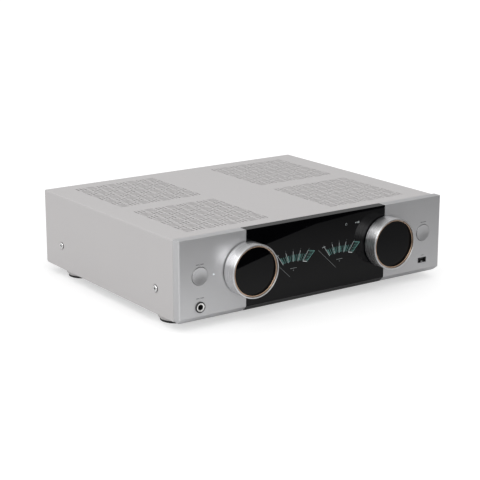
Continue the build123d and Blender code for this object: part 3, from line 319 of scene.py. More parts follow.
def boxes(lows, highs):
    """Boxes from their lowest and highest corners, eight points each."""
    lows = np.atleast_2d(np.asarray(lows, float))
    highs = np.atleast_2d(np.asarray(highs, float))
    corner = np.array([[x, y, z] for x in (0, 1) for y in (0, 1) for z in (0, 1)])
    points = lows[:, None] * (1 - corner) + highs[:, None] * corner
    faces = BOX_FACES + 8 * np.arange(len(lows))[:, None, None]
    return points.reshape(-1, 3), faces.reshape(-1, 4)


def stroke(path, width, front, thickness, closed=False, facing="front"):
    """A flat line on an upright face: each point of the path in X and Z moves half the width to
    both sides along its normal, and the strip stands up from the face by the thickness."""
    path = np.asarray(path, float)
    if closed:
        run = np.roll(path, -1, axis=0) - np.roll(path, 1, axis=0)
    else:
        run = np.gradient(path, axis=0)
    run /= np.linalg.norm(run, axis=1, keepdims=True)
    side = np.stack([-run[:, 1], run[:, 0]], 1) * width / 2
    outer = front + FACING[facing] * thickness
    sides = ((path + side, outer), (path - side, outer), (path - side, front), (path + side, front))
    edges = [np.stack([edge[:, 0], np.full(len(path), y), edge[:, 1]], 1) for edge, y in sides]
    return strip(edges, closed)


def strip(edges, closed=False):
    """A surface round four edges of as many points each. Where it isn't closed, its ends get a face."""
    count = len(edges[0])
    faces = grid_quads(count, 4, closed, True)
    if not closed:
        last = 4 * (count - 1)
        faces = np.concatenate([faces, [[3, 2, 1, 0], [last, last + 1, last + 2, last + 3]]])
    return np.stack(edges, 1).reshape(-1, 3), faces


def arc(centre, radius, first, last, steps=24):
    """Points on a circle in X and Z; angles in degrees are clockwise from straight up."""
    angle = np.radians(np.linspace(first, last, steps))
    return np.stack([centre[0] + radius * np.sin(angle), centre[1] + radius * np.cos(angle)], 1)


def plate(outline, front, thickness, facing="front"):
    """A flat patch on an upright face: the outline in X and Z, fanned from its middle, and its rim."""
    outline = np.asarray(outline, float)
    count = len(outline)
    outer = front + FACING[facing] * thickness
    inside = np.broadcast_to(outline.mean(0), outline.shape)
    places = ((inside, outer), (outline, outer), (outline, front), (inside, front))
    rings = [np.stack([ring[:, 0], np.full(count, y), ring[:, 1]], 1) for ring, y in places]
    return np.concatenate(rings), grid_quads(4, count, False, True)


def lettering(words, height, centre, front, thickness, facing="front"):
    """Raised words on an upright face: a text curve's own mesh, with its X along the face, its Y up
    and its thickness outwards, moved so that its middle is on the centre."""
    curve = bpy.data.curves.new("words", "FONT")
    curve.body = words
    curve.size = height
    curve.align_x = "CENTER"
    curve.align_y = "CENTER"
    curve.extrude = thickness / 2
    maker = bpy.data.objects.new("words", curve)
    bpy.context.scene.collection.objects.link(maker)
    mesh = bpy.data.meshes.new_from_object(maker)
    flat = np.empty(len(mesh.vertices) * 3)
    mesh.vertices.foreach_get("co", flat)
    flat = flat.reshape(-1, 3)
    mesh.calc_loop_triangles()
    triangles = np.empty(len(mesh.loop_triangles) * 3, int)
    mesh.loop_triangles.foreach_get("vertices", triangles)
    bpy.data.objects.remove(maker)
    bpy.data.curves.remove(curve)
    bpy.data.meshes.remove(mesh)
    side = -FACING[facing]
    points = np.stack(
        [
            centre[0] + side * flat[:, 0],
            front + FACING[facing] * (thickness / 2 + flat[:, 2]),
            centre[1] + flat[:, 1],
        ],
        1,
    )
    triangles = triangles.reshape(-1, 3)
    return points, np.concatenate([triangles, triangles[:, -1:]], 1)


def put(name, surface, finish, body=CHASSIS, replaces=(), smooth_degrees=35.0):
    """Makes one piece of a surface: doubles are merged, so that seams and poles close, normals are
    turned outwards, edges over an angle stay sharp, and the piece rides on its body."""
    points, faces = surface
    mesh = bpy.data.meshes.new(name)
    mesh.from_pydata(points.tolist(), [], faces.tolist())
    work = bmesh.new()
    work.from_mesh(mesh)
    bmesh.ops.remove_doubles(work, verts=work.verts, dist=MERGED)
    bmesh.ops.dissolve_degenerate(work, edges=work.edges, dist=SLIVER)
    bmesh.ops.recalc_face_normals(work, faces=work.faces)
    work.to_mesh(mesh)
    work.free()
    mesh.shade_smooth()
    mesh.set_sharp_from_angle(angle=math.radians(smooth_degrees))
    mesh.materials.append(finish.material)
    piece = bpy.data.objects.new(name, mesh)
    bpy.context.scene.collection.objects.link(piece)
    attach(piece, body)
    if replaces:
        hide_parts(*replaces)
    return piece


def dress(finish, *names):
    """Gives solids from the frame a finish."""
    for name in names:
        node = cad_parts[name]
        if not node.material_slots:
            node.data.materials.append(finish.material)
        for slot in node.material_slots:
            slot.material = finish.material


def eased(name, width, degrees=40.0, flat_degrees=1.0):
    """Rounds the sharp edges of a solid from the frame: its points are welded, its flat faces are
    freed of lines across them, and its edges are bevelled."""
    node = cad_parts[name]
    weld = node.modifiers.new("weld", "WELD")
    weld.merge_threshold = MERGED
    flat = node.modifiers.new("flat_faces", "DECIMATE")
    flat.decimate_type = "DISSOLVE"
    flat.angle_limit = math.radians(flat_degrees)
    bevel = node.modifiers.new("eased_edges", "BEVEL")
    bevel.width = width
    bevel.segments = 2
    bevel.limit_method = "ANGLE"
    bevel.angle_limit = math.radians(degrees)
    bevel.use_clamp_overlap = False


def middle(name):
    low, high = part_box(name)
    return (low + high) / 2


def axis_of(name):
    """The point at y = 0 on the axis from front to rear through the middle of a solid."""
    centre = middle(name)
    return (centre.x, 0, centre.z)


def half(name):
    low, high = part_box(name)
    return (high - low) / 2


# Colours and sizes that a user would change
def colour(name, description, default):
    return FloatVectorProperty(
        name=name, description=description, subtype="COLOR", size=3, min=0, max=1, default=default
    )


def length(name, description, default):
    return FloatProperty(name=name, description=description, unit="LENGTH", min=0, default=default)


def number(name, description, default):
    return FloatProperty(name=name, description=description, default=default)


class StreamerColours(bpy.types.PropertyGroup):
    """Base colours of the finishes, in linear light."""

    paint: colour("Paint", "Paint of the cover and the feet", (0.525, 0.510, 0.510))
    fascia: colour("Fascia", "Blasted aluminium of the front panel", (0.60, 0.60, 0.61))
    knob: colour("Knob", "Turned aluminium of the knobs", (0.78, 0.78, 0.79))
    ring: colour("Ring", "Copper ring round each knob's disc", (0.98, 0.68, 0.48))
    glass: colour("Glass", "Black window and knob discs", (0.0012, 0.0012, 0.0016))
    scale_lit: colour("Scale", "Lit scale of the meters", (0.13, 0.31, 0.28))
    scale_white: colour("Scale lines", "Long lines and numbers of the meters", (0.42, 0.46, 0.46))
    ink: colour("Ink", "Printed symbols on metal", (0.12, 0.12, 0.125))
    rear: colour("Rear", "Satin black of the rear panel", (0.022, 0.022, 0.023))
    rear_ink: colour("Rear ink", "Printed lines and signs on the rear panel", (0.62, 0.62, 0.60))
    red: colour("Red", "Red mouldings", (0.35, 0.012, 0.012))
    rubber: colour("Rubber", "Foot pads", (0.012, 0.012, 0.012))
    plastic: colour("Plastic", "Black mouldings", (0.018, 0.018, 0.019))
    board: colour("Board", "Circuit boards", (0.015, 0.075, 0.04))


class MeterSizes(bpy.types.PropertyGroup):
    """Places on the lit meters, measured down from the top of the cover."""

    middle_x: length("Middle", "How far the two meters lie left of the middle", 1.3 * MM)
    pivot_x: length("Pivot", "Distance of each needle's pivot from the meters' middle", 38.5 * MM)
    pivot_drop: length("Pivot drop", "Depth of the pivots", 78.4 * MM)
    scale_drop: length("Scale drop", "Depth of the scale's crown", 39.2 * MM)
    scale_bow: length("Scale bow", "Radius of the scale's outer bow", 130.0 * MM)
    inner_drop: length("Inner drop", "Depth of the crown of the scale's inner edge", 53.5 * MM)
    inner_bow: length("Inner bow", "Radius of the scale's inner bow", 82.0 * MM)
    short_drop: length("Short drop", "Depth of the short lines' outer ends", 44.0 * MM)
    short_inner_drop: length("Short inner drop", "Depth of the short lines' inner ends", 52.5 * MM)
    line: length("Line", "Width of a long line", 0.5 * MM)
    short_line: length("Short line", "Width of a short line", 0.42 * MM)
    thin_line: length("Thin line", "Width of the needles, signs and hatching", 0.3 * MM)
    mark_height: length("Mark height", "How far lit marks stand off the window", 0.03 * MM)
    numbers: length("Numbers", "Height of the numbers", 2.0 * MM)
    needle_start: length("Needle start", "Distance of a needle's near end from its pivot", 8.0 * MM)
    needle_end: length("Needle end", "Distance of a needle's tip from its pivot", 49.3 * MM)
    rule_drop: length("Rule drop", "Depth of the short line below each scale", 62.0 * MM)
    rule_width: length("Rule width", "Width of the short line below each scale", 10.7 * MM)
    sign_drop: length("Sign drop", "Depth of the two status signs", 15.8 * MM)
    first_degrees: number("First", "Angle of the first long line", -35.5)
    step_degrees: number("Step", "Angle between long lines", 17.2)
    needle_degrees: number("Needle", "Angle of the needles", -46.6)
    bar_degrees: number("Bar", "Angle of the peak bar's far edge", 45.0)


class KnobSizes(bpy.types.PropertyGroup):
    """Edges and grooves of the knobs."""

    bezel: length("Bezel", "Rounding from the flank to the front", 0.8 * MM)
    lip: length("Lip", "Rounding of the bezel's inner edge", 0.4 * MM)
    ease: length("Eased edge", "Rounding of the other edges", 0.3 * MM)
    groove: length("Groove", "Pitch of the turning grooves on the flank", 0.6 * MM)
    groove_depth: length("Groove depth", "Depth of the turning grooves", 0.11 * MM)
    web: length("Web", "Thickness of the web behind the disc", 4 * MM)
    hub: length("Hub", "Radius of the hub", 7 * MM)
    hub_step: length("Hub step", "How far the hub stays short of the flank's back edge", 1 * MM)
    skirt_step: length("Skirt step", "How much thicker the flank's wall is behind the web", 1.2 * MM)
    shaft_gap: length("Shaft gap", "Clearance round the shaft", 0.02 * MM)
    ring_inset: length("Ring inset", "How much smaller the copper ring is than its seat", 0.2 * MM)
    ring_gap: length("Ring gap", "Dark gap between the copper ring and the rim", 1.1 * MM)
    ring_drop: length("Ring drop", "How far the copper ring stays behind the rim", 1.3 * MM)
    ring_sheet: length("Ring sheet", "Thickness of the copper ring's face", 0.8 * MM)
    ring_face: length("Ring face", "Width of the copper ring's face", 0.8 * MM)
    cup_wall: length("Cup wall", "Thickness of the wall round each disc", 0.5 * MM)


class ButtonSizes(bpy.types.PropertyGroup):
    """Shape of the push buttons."""

    radius: length("Radius", "Radius of a button", 11.5 * MM)
    proud: length("Proud", "How far a button's rim stands out of the panel", 0.7 * MM)
    dish: length("Dish", "Depth of the hollow in a button's face", 1.1 * MM)
    rim: length("Rim", "Rounding of a button's rim", 0.35 * MM)
    flange_front: length("Flange front", "Depth of the flange's front behind the panel's face", 5.3 * MM)
    flange_back: length("Flange back", "Depth of the flange's back behind the panel's face", 6.5 * MM)
    stem: length("Stem", "Radius of the stem", 2.5 * MM)
    sleeve_wall: length("Sleeve wall", "Thickness of a return sleeve at its ends", 2.0 * MM)
    sleeve_waist: length("Sleeve waist", "How far a return sleeve draws in at its middle", 0.5 * MM)
    sleeve_kept: number("Sleeve kept", "Share of a sleeve's length that is left when pressed", 0.78)


class StageSizes(bpy.types.PropertyGroup):
    """Camera and light."""

    azimuth: number("Azimuth", "Degrees that the camera is turned to the left of the front", 35.065)
    elevation: number("Elevation", "Degrees that the camera stands above level", 15.089)
    distance: length("Distance", "Camera distance from its target", 1.968)
    target: FloatVectorProperty(
        name="Target",
        description="Point the camera looks at",
        unit="LENGTH",
        default=(-0.01696, -0.02206, 0.05649),
    )
    lens: number("Lens", "Focal length in millimetres", 105.12)
    sky_light: number("Sky light", "Even light from all round", 0.97)
    soft_box: number("Soft box", "Level of the soft box that the knobs mirror", 3.0)
    top_share: number("Top share", "Share of the sky's paleness that reflections find straight up", 0.3)
    lamp_watts: number("Lamp", "Power of the overhead soft light", 3.0)
    # Painted light and shade of the floor as reflections see it: paler near the front, darker far off and
    # to the right.
    floor_near: number("Near floor", "How pale the floor close to the front looks in reflections", 0.92)
    floor_far: number("Far floor", "How pale the floor far in front looks in reflections", 0.45)
    near_reach: length("Near reach", "How far in front of the panel the floor stays pale", 0.09)
    far_reach: length("Far reach", "Where in front of the panel the floor is at its darkest", 0.36)
    right_share: number("Right share", "Share of the floor's paleness that is left at the right", 0.60)


# Finishes
def painted(name, base, roughness=0.42):
    """Satin powder paint: a fine orange peel and a faint drift of tone."""
    finish = Finish(name, base, roughness, ior=1.45)
    finish.mottle(0.012, 40 * MM)
    grain = finish.noise(0.35 * MM, 2.0)
    finish.set("Roughness", finish.between(finish.noise(6 * MM, 3.0), roughness - 0.04, roughness + 0.05))
    finish.relief(grain, 0.012 * MM)
    return finish


def blasted(name, base, roughness=0.42, metallic=0.78):
    """Bead-blasted and anodised aluminium: tiny pits, and a slow change of gloss."""
    finish = Finish(name, base, roughness, metallic)
    finish.mottle(0.015, 25 * MM)
    pits = finish.noise(0.18 * MM, 3.0, roughness=0.7)
    drift = finish.noise(30 * MM, 2.0)
    finish.set("Roughness", finish.between(drift * 0.6 + pits * 0.4, roughness - 0.05, roughness + 0.06))
    finish.relief(pits, 0.006 * MM)
    return finish


def turned_metal(name, base, centre, roughness=0.26, line=0.16 * MM):
    """Metal off a lathe: lines that run round an axis along Y, from noise of the radius and depth."""
    finish = Finish(name, base, roughness, 1.0)
    parts = finish.split(finish.place(centre))
    radius = (parts * parts + parts.output("Z") * parts.output("Z")) ** 0.5
    groove = finish.node(
        "ShaderNodeTexNoise",
        {"noise_dimensions": "1D"},
        {"W": (radius + parts.output("Y")) * (1 / line), "Scale": 1.0, "Detail": 3.0},
    )
    wide = finish.node(
        "ShaderNodeTexNoise",
        {"noise_dimensions": "1D"},
        {"W": (radius + parts.output("Y")) * (1 / (10 * line)), "Scale": 1.0, "Detail": 1.0},
    )
    finish.set("Roughness", finish.between(groove * 0.5 + wide * 0.5, roughness - 0.08, roughness + 0.1))
    finish.relief(groove, 0.004 * MM)
    return finish


def gloss_black(name, base, roughness=0.025):
    """Black glass: near-mirror gloss with faint traces of wiping."""
    finish = Finish(name, base, roughness, ior=1.3)
    wipe = finish.noise(18 * MM, 4.0, finish.place(scale=(1, 1, 3)))
    finish.set("Roughness", finish.between(wipe, roughness - 0.015, roughness + 0.015))
    return finish


def moulded(name, base, roughness=0.5, texture=0.4 * MM):
    """Moulded plastic: fine spark texture and a slightly uneven gloss."""
    finish = Finish(name, base, roughness)
    finish.mottle(0.08, 5 * MM)
    grain = finish.noise(texture, 3.0)
    finish.set("Roughness", finish.between(grain, roughness - 0.08, roughness + 0.08))
    finish.relief(grain, 0.015 * MM)
    return finish


def plated(name, base, roughness=0.2):
    """Plated metal: a bright skin with a little haze."""
    finish = Finish(name, base, roughness, 1.0)
    haze = finish.noise(3 * MM, 4.0)
    finish.set("Roughness", finish.between(haze, roughness - 0.06, roughness + 0.1))
    finish.mottle(0.04, 2 * MM)
    finish.relief(finish.noise(0.5 * MM, 2.0), 0.002 * MM)
    return finish


def spangled(name, base, roughness=0.34):
    """Zinc-plated sheet: crystals of slightly different tone and gloss."""
    finish = Finish(name, base, roughness, 0.85)
    cells = finish.node(
        "ShaderNodeTexVoronoi", None, {"Vector": finish.place(), "Scale": 1 / (9 * MM)}, "Color"
    )
    tone = finish.node("ShaderNodeSeparateColor", None, {"Color": cells})
    darker = tuple(c * 0.82 for c in base) + (1.0,)
    finish.set("Base Color", finish.blend(tone, darker, finish.colour))
    finish.set("Roughness", finish.between(tone.output("Green"), roughness - 0.08, roughness + 0.1))
    finish.relief(finish.noise(0.8 * MM, 2.0), 0.004 * MM)
    return finish


def circuit(name, base):
    """Circuit board: solder mask over copper tracks, which show as lighter lines and raised a hair."""
    finish = Finish(name, base, 0.38)
    cells = finish.node(
        "ShaderNodeTexVoronoi",
        {"feature": "DISTANCE_TO_EDGE"},
        {"Vector": finish.place(), "Scale": 1 / (5 * MM)},
    )
    track_share = 0.06
    tracks = cells < track_share
    finish.set("Base Color", finish.blend(tracks, finish.colour, (0.05, 0.17, 0.08, 1.0)))
    finish.relief(tracks, 0.03 * MM)
    return finish


def lit(name, base, strength):
    """A lit mark on the display, with a slight unevenness of its light."""
    finish = Finish(name, (0.0, 0.0, 0.0), 0.5, emission_strength=strength)
    darker = tuple(c * 0.75 for c in base) + (1.0,)
    finish.set("Emission Color", finish.blend(finish.noise(1.5 * MM, 1.0), darker, (*base, 1.0)))
    return finish


# Operators, one for each piece or group of like pieces
class StreamerOperator:
    """What the operators share: each has a build function that makes its pieces."""

    bl_options = {"REGISTER", "UNDO"}

    def execute(self, context):
        self.build(context.scene.streamer_colours, context.scene)
        return {"FINISHED"}


class STREAMER_OT_stage(StreamerOperator, bpy.types.Operator):
    """Pale floor, plain soft light and the camera"""

    bl_idname = "streamer.stage"
    bl_label = "Stage, light and camera"

    def build(self, colours, scene):
        stage = scene.streamer_stage
        self.world(scene, stage)
        self.floor(stage)
        self.card()
        self.lamps(stage)
        self.camera(scene, stage)
        scene.view_settings.view_transform = "Standard"

    def towards(self, tree, direction, aim, first, last, at_first, at_last):
        """Remaps the cosine of the angle between a direction and an aim."""
        cosine = tree.node(
            "ShaderNodeVectorMath",
            {"operation": "DOT_PRODUCT"},
            {0: direction, 1: Vector(aim).normalized()},
            "Value",
        )
        return tree.remap(cosine, first, last, at_first, at_last)

    def world(self, scene, stage):
        """Even light all round. Reflections see a sky whose level is a weighted sum of the direction's
        X, Y and Z, palest at the upper left, times the two dark areas, with the soft box added."""
        upper_left = (-0.78, -0.1, 0.6)
        low_left = (-0.97, 0.1, 0.05)
        overhead = (0, 0, 1)
        scene.world = bpy.data.worlds.new("studio")
        tree = Tree(scene.world)
        camera = tree.node("ShaderNodeLightPath", output="Is Camera Ray")
        direction = tree.node("ShaderNodeTexCoord", output="Generated")
        parts = tree.split(direction)
        soft_box = self.towards(tree, direction, upper_left, 0.86, 0.94, 0.0, stage.soft_box)
        dark_side = self.towards(tree, direction, low_left, 0.88, 0.96, 1.0, 0.0)
        dark_top = self.towards(tree, direction, overhead, 0.7, 0.9, 1.0, stage.top_share)
        palest = parts.output("Z") * 0.75 - parts * 0.45 + parts.output("Y") * 0.1 + 0.45
        glow = tree.node("ShaderNodeClamp", None, {0: palest, 1: 0.25, 2: 1.25})
        glossy = camera.output("Is Glossy Ray")
        seen = glow * dark_side * dark_top + soft_box
        level = glossy * (seen - stage.sky_light) + stage.sky_light
        sky = tree.node("ShaderNodeBackground", None, {"Color": (1, 1, 1, 1), "Strength": level})
        plain = tree.node("ShaderNodeBackground", None, {"Color": (1, 1, 1, 1), "Strength": 1.0})
        mixed = tree.node("ShaderNodeMixShader", None, {0: camera, 1: sky, 2: plain})
        tree.node("ShaderNodeOutputWorld", None, {"Surface": mixed})

    def sheet(self, name, corners, faces, finish):
        """A flat piece that belongs to the stage."""
        mesh = bpy.data.meshes.new(name)
        mesh.from_pydata(corners, [], faces)
        mesh.materials.append(finish.material)
        sheet = bpy.data.objects.new(name, mesh)
        bpy.context.scene.collection.objects.link(sheet)
        return sheet

    def floor(self, stage):
        """A pale floor. In reflections its colour is painted light and shade: it is palest close to the
        front panel, and it gets darker away from it, to the right and behind it, where painted shade lies
        under the object."""
        side = 12.0
        left_start = -0.12
        right_end = 0.30
        behind_end = -0.04
        painted_shade_under_share = 0.78
        seen_light = 0.5
        fill_light = 0.27
        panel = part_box("left_fascia")[0].y
        finish = Finish("floor", (0.6, 0.6, 0.6), 0.9, specular_ior_level=0.0)
        camera = finish.node("ShaderNodeLightPath", output="Is Camera Ray")
        place = finish.split()
        ahead = panel - place.output("Y")
        reach = (stage.near_reach, stage.far_reach)
        # Painted light and shade in reflections: a pool of light near the front that falls off far in
        # front, to the right and under the object.
        level = finish.remap(ahead, *reach, stage.floor_near, stage.floor_far)
        fall = finish.remap(place, left_start, right_end, 1.0, stage.right_share)
        behind = finish.remap(ahead, behind_end, 0.0, painted_shade_under_share, 1.0)
        painted_reflected_floor = finish.blend(level * fall * behind, (0.0, 0.0, 0.0, 1.0), (1.0, 1.0, 1.0, 1.0))
        pale = finish.blend(camera.output("Is Glossy Ray"), finish.colour, painted_reflected_floor)
        finish.set("Base Color", pale)
        finish.set("Emission Color", (1.0, 1.0, 1.0, 1.0))
        fill = camera.output("Is Diffuse Ray") * fill_light
        finish.set("Emission Strength", camera * seen_light + fill)
        corners = [(x, y, 0) for x, y in rectangle(-side, -side, side, side)]
        self.sheet("floor", corners, [(0, 1, 2, 3)], finish)

    def card(self):
        """A dark card on the floor in front, which only reflections see: the window, the discs and
        the front panel mirror it above a slanting line."""
        finish = Finish("card", (0.0, 0.0, 0.0), 1.0, specular_ior_level=0.0)
        rise = 0.5 * MM
        far = -1.3
        edge = [(-0.10, -0.359), (0.092, -0.445), (0.261, -0.512), (0.367, -0.531), (2.4, -0.619)]
        corners = [(x, y, rise) for x, y in edge] + [(x, far, rise) for x, _ in edge]
        faces = [(i, i + len(edge), i + len(edge) + 1, i + 1) for i in range(len(edge) - 1)]
        card = self.sheet("card", corners, faces, finish)
        card.visible_camera = False
        card.visible_diffuse = False
        card.visible_shadow = False
        card.visible_transmission = False

    def lamps(self, stage):
        """Two round soft lights, each with its place, its width and its share of the power."""
        places = {"overhead": ((-0.9, -0.3, 1.8), 1.6, 1.0), "front": ((-1.6, -1.4, 0.9), 1.2, 0.5)}
        for name, (place, size, share) in places.items():
            lamp = bpy.data.lights.new(name, "AREA")
            lamp.shape = "DISK"
            lamp.size = size
            lamp.energy = stage.lamp_watts * share
            holder = bpy.data.objects.new(name, lamp)
            holder.location = place
            holder.rotation_mode = "QUATERNION"
            holder.rotation_quaternion = (-Vector(place)).to_track_quat("-Z", "Y")
            bpy.context.scene.collection.objects.link(holder)

    def camera(self, scene, stage):
        """The camera stands back from its target by the distance, turned and raised by two angles."""
        turn = math.radians(stage.azimuth)
        rise = math.radians(stage.elevation)
        back = Vector(
            (-math.sin(turn) * math.cos(rise), -math.cos(turn) * math.cos(rise), math.sin(rise))
        )
        data = bpy.data.cameras.new("camera")
        data.lens = stage.lens
        camera = bpy.data.objects.new("camera", data)
        camera.location = Vector(stage.target) + back * stage.distance
        camera.rotation_mode = "QUATERNION"
        camera.rotation_quaternion = (-back).to_track_quat("-Z", "Y")
        scene.collection.objects.link(camera)
        scene.camera = camera


class STREAMER_OT_case(StreamerOperator, bpy.types.Operator):
    """Painted cover and rear panel, plated floor pan and subchassis"""

    bl_idname = "streamer.case"
    bl_label = "Case"

    def build(self, colours, scene):
        dress(painted("cover_paint", colours.paint), "top_cover")
        dress(painted("rear_paint", colours.rear, 0.45), "rear_panel")
        dress(spangled("zinc_plated_steel", (0.48, 0.49, 0.50)), "base_pan", "front_subchassis")


class STREAMER_OT_fascia(StreamerOperator, bpy.types.Operator):
    """Blasted aluminium halves of the front panel and the symbols printed on them"""

    bl_idname = "streamer.fascia"
    bl_label = "Front panel"

    def build(self, colours, scene):
        dress(blasted("fascia_aluminium", colours.fascia), "left_fascia", "right_fascia")
        edge = 0.35 * MM
        for name in ("left_fascia", "right_fascia"):
            eased(name, edge)
        ink = moulded("printed_ink", colours.ink)
        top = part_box("top_cover")[1].z
        button_x = middle("select_button").x
        over_buttons = top - 33 * MM
        over_headphones = top - 77 * MM
        over_usb = top - 80.6 * MM
        signs = [
            self.sign(-button_x, over_buttons, dash=4.2 * MM),
            self.sign(-button_x, over_headphones, dash=4.2 * MM),
            self.sign(button_x, over_buttons, dash=3.4 * MM),
            self.sign(button_x, over_usb, dash=0.8 * MM),
        ]
        put("front_symbols", joined(signs), ink)

    def sign(self, x, z, dash, size=1.0 * MM, line=0.3 * MM):
        """A small printed sign: a ring between two level dashes."""
        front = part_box("left_fascia")[0].y
        near = 1.5 * size
        marks = [stroke(arc((x, z), size, 0, 345, 24), line, front, SKIN, closed=True)]
        for side in (-1, 1):
            ends = [(x + side * near, z), (x + side * (near + dash), z)]
            marks.append(stroke(ends, size, front, SKIN))
        return joined(marks)


class STREAMER_OT_window(StreamerOperator, bpy.types.Operator):
    """Black glass window, and the display and its tray behind it"""

    bl_idname = "streamer.window"
    bl_label = "Window"

    def build(self, colours, scene):
        dress(gloss_black("window_glass", colours.glass), "display_window")
        dress(moulded("display_plastic", (0.02, 0.02, 0.022), 0.4), "display_housing", "display_panel")


class STREAMER_OT_meters(StreamerOperator, bpy.types.Operator):
    """Two lit meters with a scale, a peak bar and a needle each, and two status signs"""

    bl_idname = "streamer.meters"
    bl_label = "Meters"

    def reach(self, degrees, pivot_drop, crown_drop, bow):
        """Distance t from the pivot, along a line at angle a, to a bow whose drop below its crown is
        (t sin a)^2 / 2R. With h from pivot to crown, t = 2h / (cos a + sqrt(cos^2 a + 2h sin^2 a / R))."""
        angle = np.radians(degrees)
        height = pivot_drop - crown_drop
        root = np.sqrt(np.cos(angle) ** 2 + 2 * height * np.sin(angle) ** 2 / bow)
        return 2 * height / (np.cos(angle) + root)

    def ray(self, pivot, degrees, distance):
        angle = np.radians(degrees)
        return np.stack(
            [pivot[0] + distance * np.sin(angle), pivot[1] + distance * np.cos(angle)], -1
        )

    def build(self, colours, scene):
        m = scene.streamer_meters
        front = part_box("display_window")[0].y
        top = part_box("top_cover")[1].z
        white = lit("lit_white", colours.scale_white, 1.0)
        teal = lit("lit_scale", colours.scale_lit, 1.0)
        dim = lit("lit_dim", tuple(c * 0.45 for c in colours.scale_white), 1.0)
        numbers = ("20", "10", "5", "3", "0")
        short_shares = np.array([-0.17, 0.12, 0.24])
        flag_ends = np.array([[-3.6, -0.4], [1.7, 0.7]]) * MM
        hatch_shares = np.linspace(0.1, 0.85, 6)[:, None]
        hatch_rise = 0.08
        hatch_inset = 0.3
        dot_gap = 2.9 * MM
        dot = 0.6 * MM
        long_degrees = m.first_degrees + m.step_degrees * np.arange(len(numbers))
        short_degrees = (long_degrees[:, None] + m.step_degrees * short_shares).ravel()[1:-2]
        middle_degrees = long_degrees[:4] + m.step_degrees / 2
        bar_degrees = np.array([long_degrees[-1], m.bar_degrees])
        white_marks = []
        teal_marks = []
        dim_marks = []
        for side in (-1, 1):
            pivot = (side * m.pivot_x - m.middle_x, top - m.pivot_drop)

            def ends(degrees, crown_drop, bow):
                return self.ray(pivot, degrees, self.reach(degrees, m.pivot_drop, crown_drop, bow))

            def lines(marks, width, starts, stops):
                marks.extend(stroke([a, b], width, front, m.mark_height) for a, b in zip(starts, stops))

            inner = ends(long_degrees, m.inner_drop, m.inner_bow)
            outer = ends(long_degrees, m.scale_drop, m.scale_bow)
            lines(white_marks, m.line, inner, outer)
            white_marks.append(stroke(outer[0] + flag_ends, m.line, front, m.mark_height))
            for degrees, width in ((short_degrees, m.short_line), (middle_degrees, m.thin_line)):
                starts = ends(degrees, m.short_inner_drop, m.inner_bow)
                lines(teal_marks, width, starts, ends(degrees, m.short_drop, m.scale_bow))
            bar_inner = ends(bar_degrees, m.inner_drop, m.inner_bow)
            bar_outer = ends(bar_degrees, m.scale_drop, m.scale_bow)
            white_marks.append(stroke(bar_inner, 2 * m.line, front, m.mark_height))
            teal_marks.append(stroke(bar_outer, m.line, front, m.mark_height))
            lines(teal_marks, m.line, bar_inner[1:], bar_outer[1:])
            hatch_start = bar_inner[0] + hatch_shares * (bar_outer[0] - bar_inner[0])
            hatch_end = bar_inner[1] + (hatch_shares + hatch_rise) * (bar_outer[1] - bar_inner[1])
            hatch_start = hatch_start + hatch_inset * (hatch_end - hatch_start)
            lines(teal_marks, m.thin_line, hatch_start, hatch_end)
            needle_reach = np.array([m.needle_start, m.needle_end])
            needle = self.ray(pivot, np.full(2, m.needle_degrees), needle_reach)
            dim_marks.append(stroke(needle, m.thin_line, front, m.mark_height))
            for degrees, words in zip(long_degrees, numbers):
                distance = self.reach(degrees, m.pivot_drop, m.scale_drop, m.scale_bow) + m.numbers
                centre = self.ray(pivot, degrees, distance)
                dim_marks.append(lettering(words, m.numbers, centre, front, m.mark_height))
            rule_x = np.array([-0.5, 0.5]) * m.rule_width + pivot[0]
            rule = np.stack([rule_x, np.full(2, top - m.rule_drop)], 1)
            dim_marks.append(stroke(rule, m.line, front, m.mark_height))
            mark = (pivot[0], top - m.rule_drop - dot_gap)
            dim_marks.append(plate(arc(mark, dot, 0, 330, 12), front, m.mark_height))
        white_marks += self.status_signs(top - m.sign_drop, front, m)
        put("meter_lines_and_signs", joined(white_marks), white)
        put("meter_scale", joined(teal_marks), teal)
        put("meter_needles_and_numbers", joined(dim_marks), dim)

    def status_signs(self, z, front, m):
        """Three upright bars, each longer than the one before, and a ring to the left of them."""
        bars_x = 66.8 * MM
        bar_gap = 2.8 * MM
        bar_width = 1.2 * MM
        rises = (0.6 * MM, 1.0 * MM, 1.4 * MM)
        ring_x = 47.8 * MM
        ring_radius = 1.3 * MM
        marks = []
        for reach, rise in zip((-1, 0, 1), rises):
            x = bars_x + reach * bar_gap
            marks.append(stroke([(x, z - rise), (x, z + rise)], bar_width, front, m.mark_height))
        ring = arc((ring_x, z), ring_radius, 0, 330, 12)
        marks.append(stroke(ring, m.thin_line, front, m.mark_height, closed=True))
        return marks


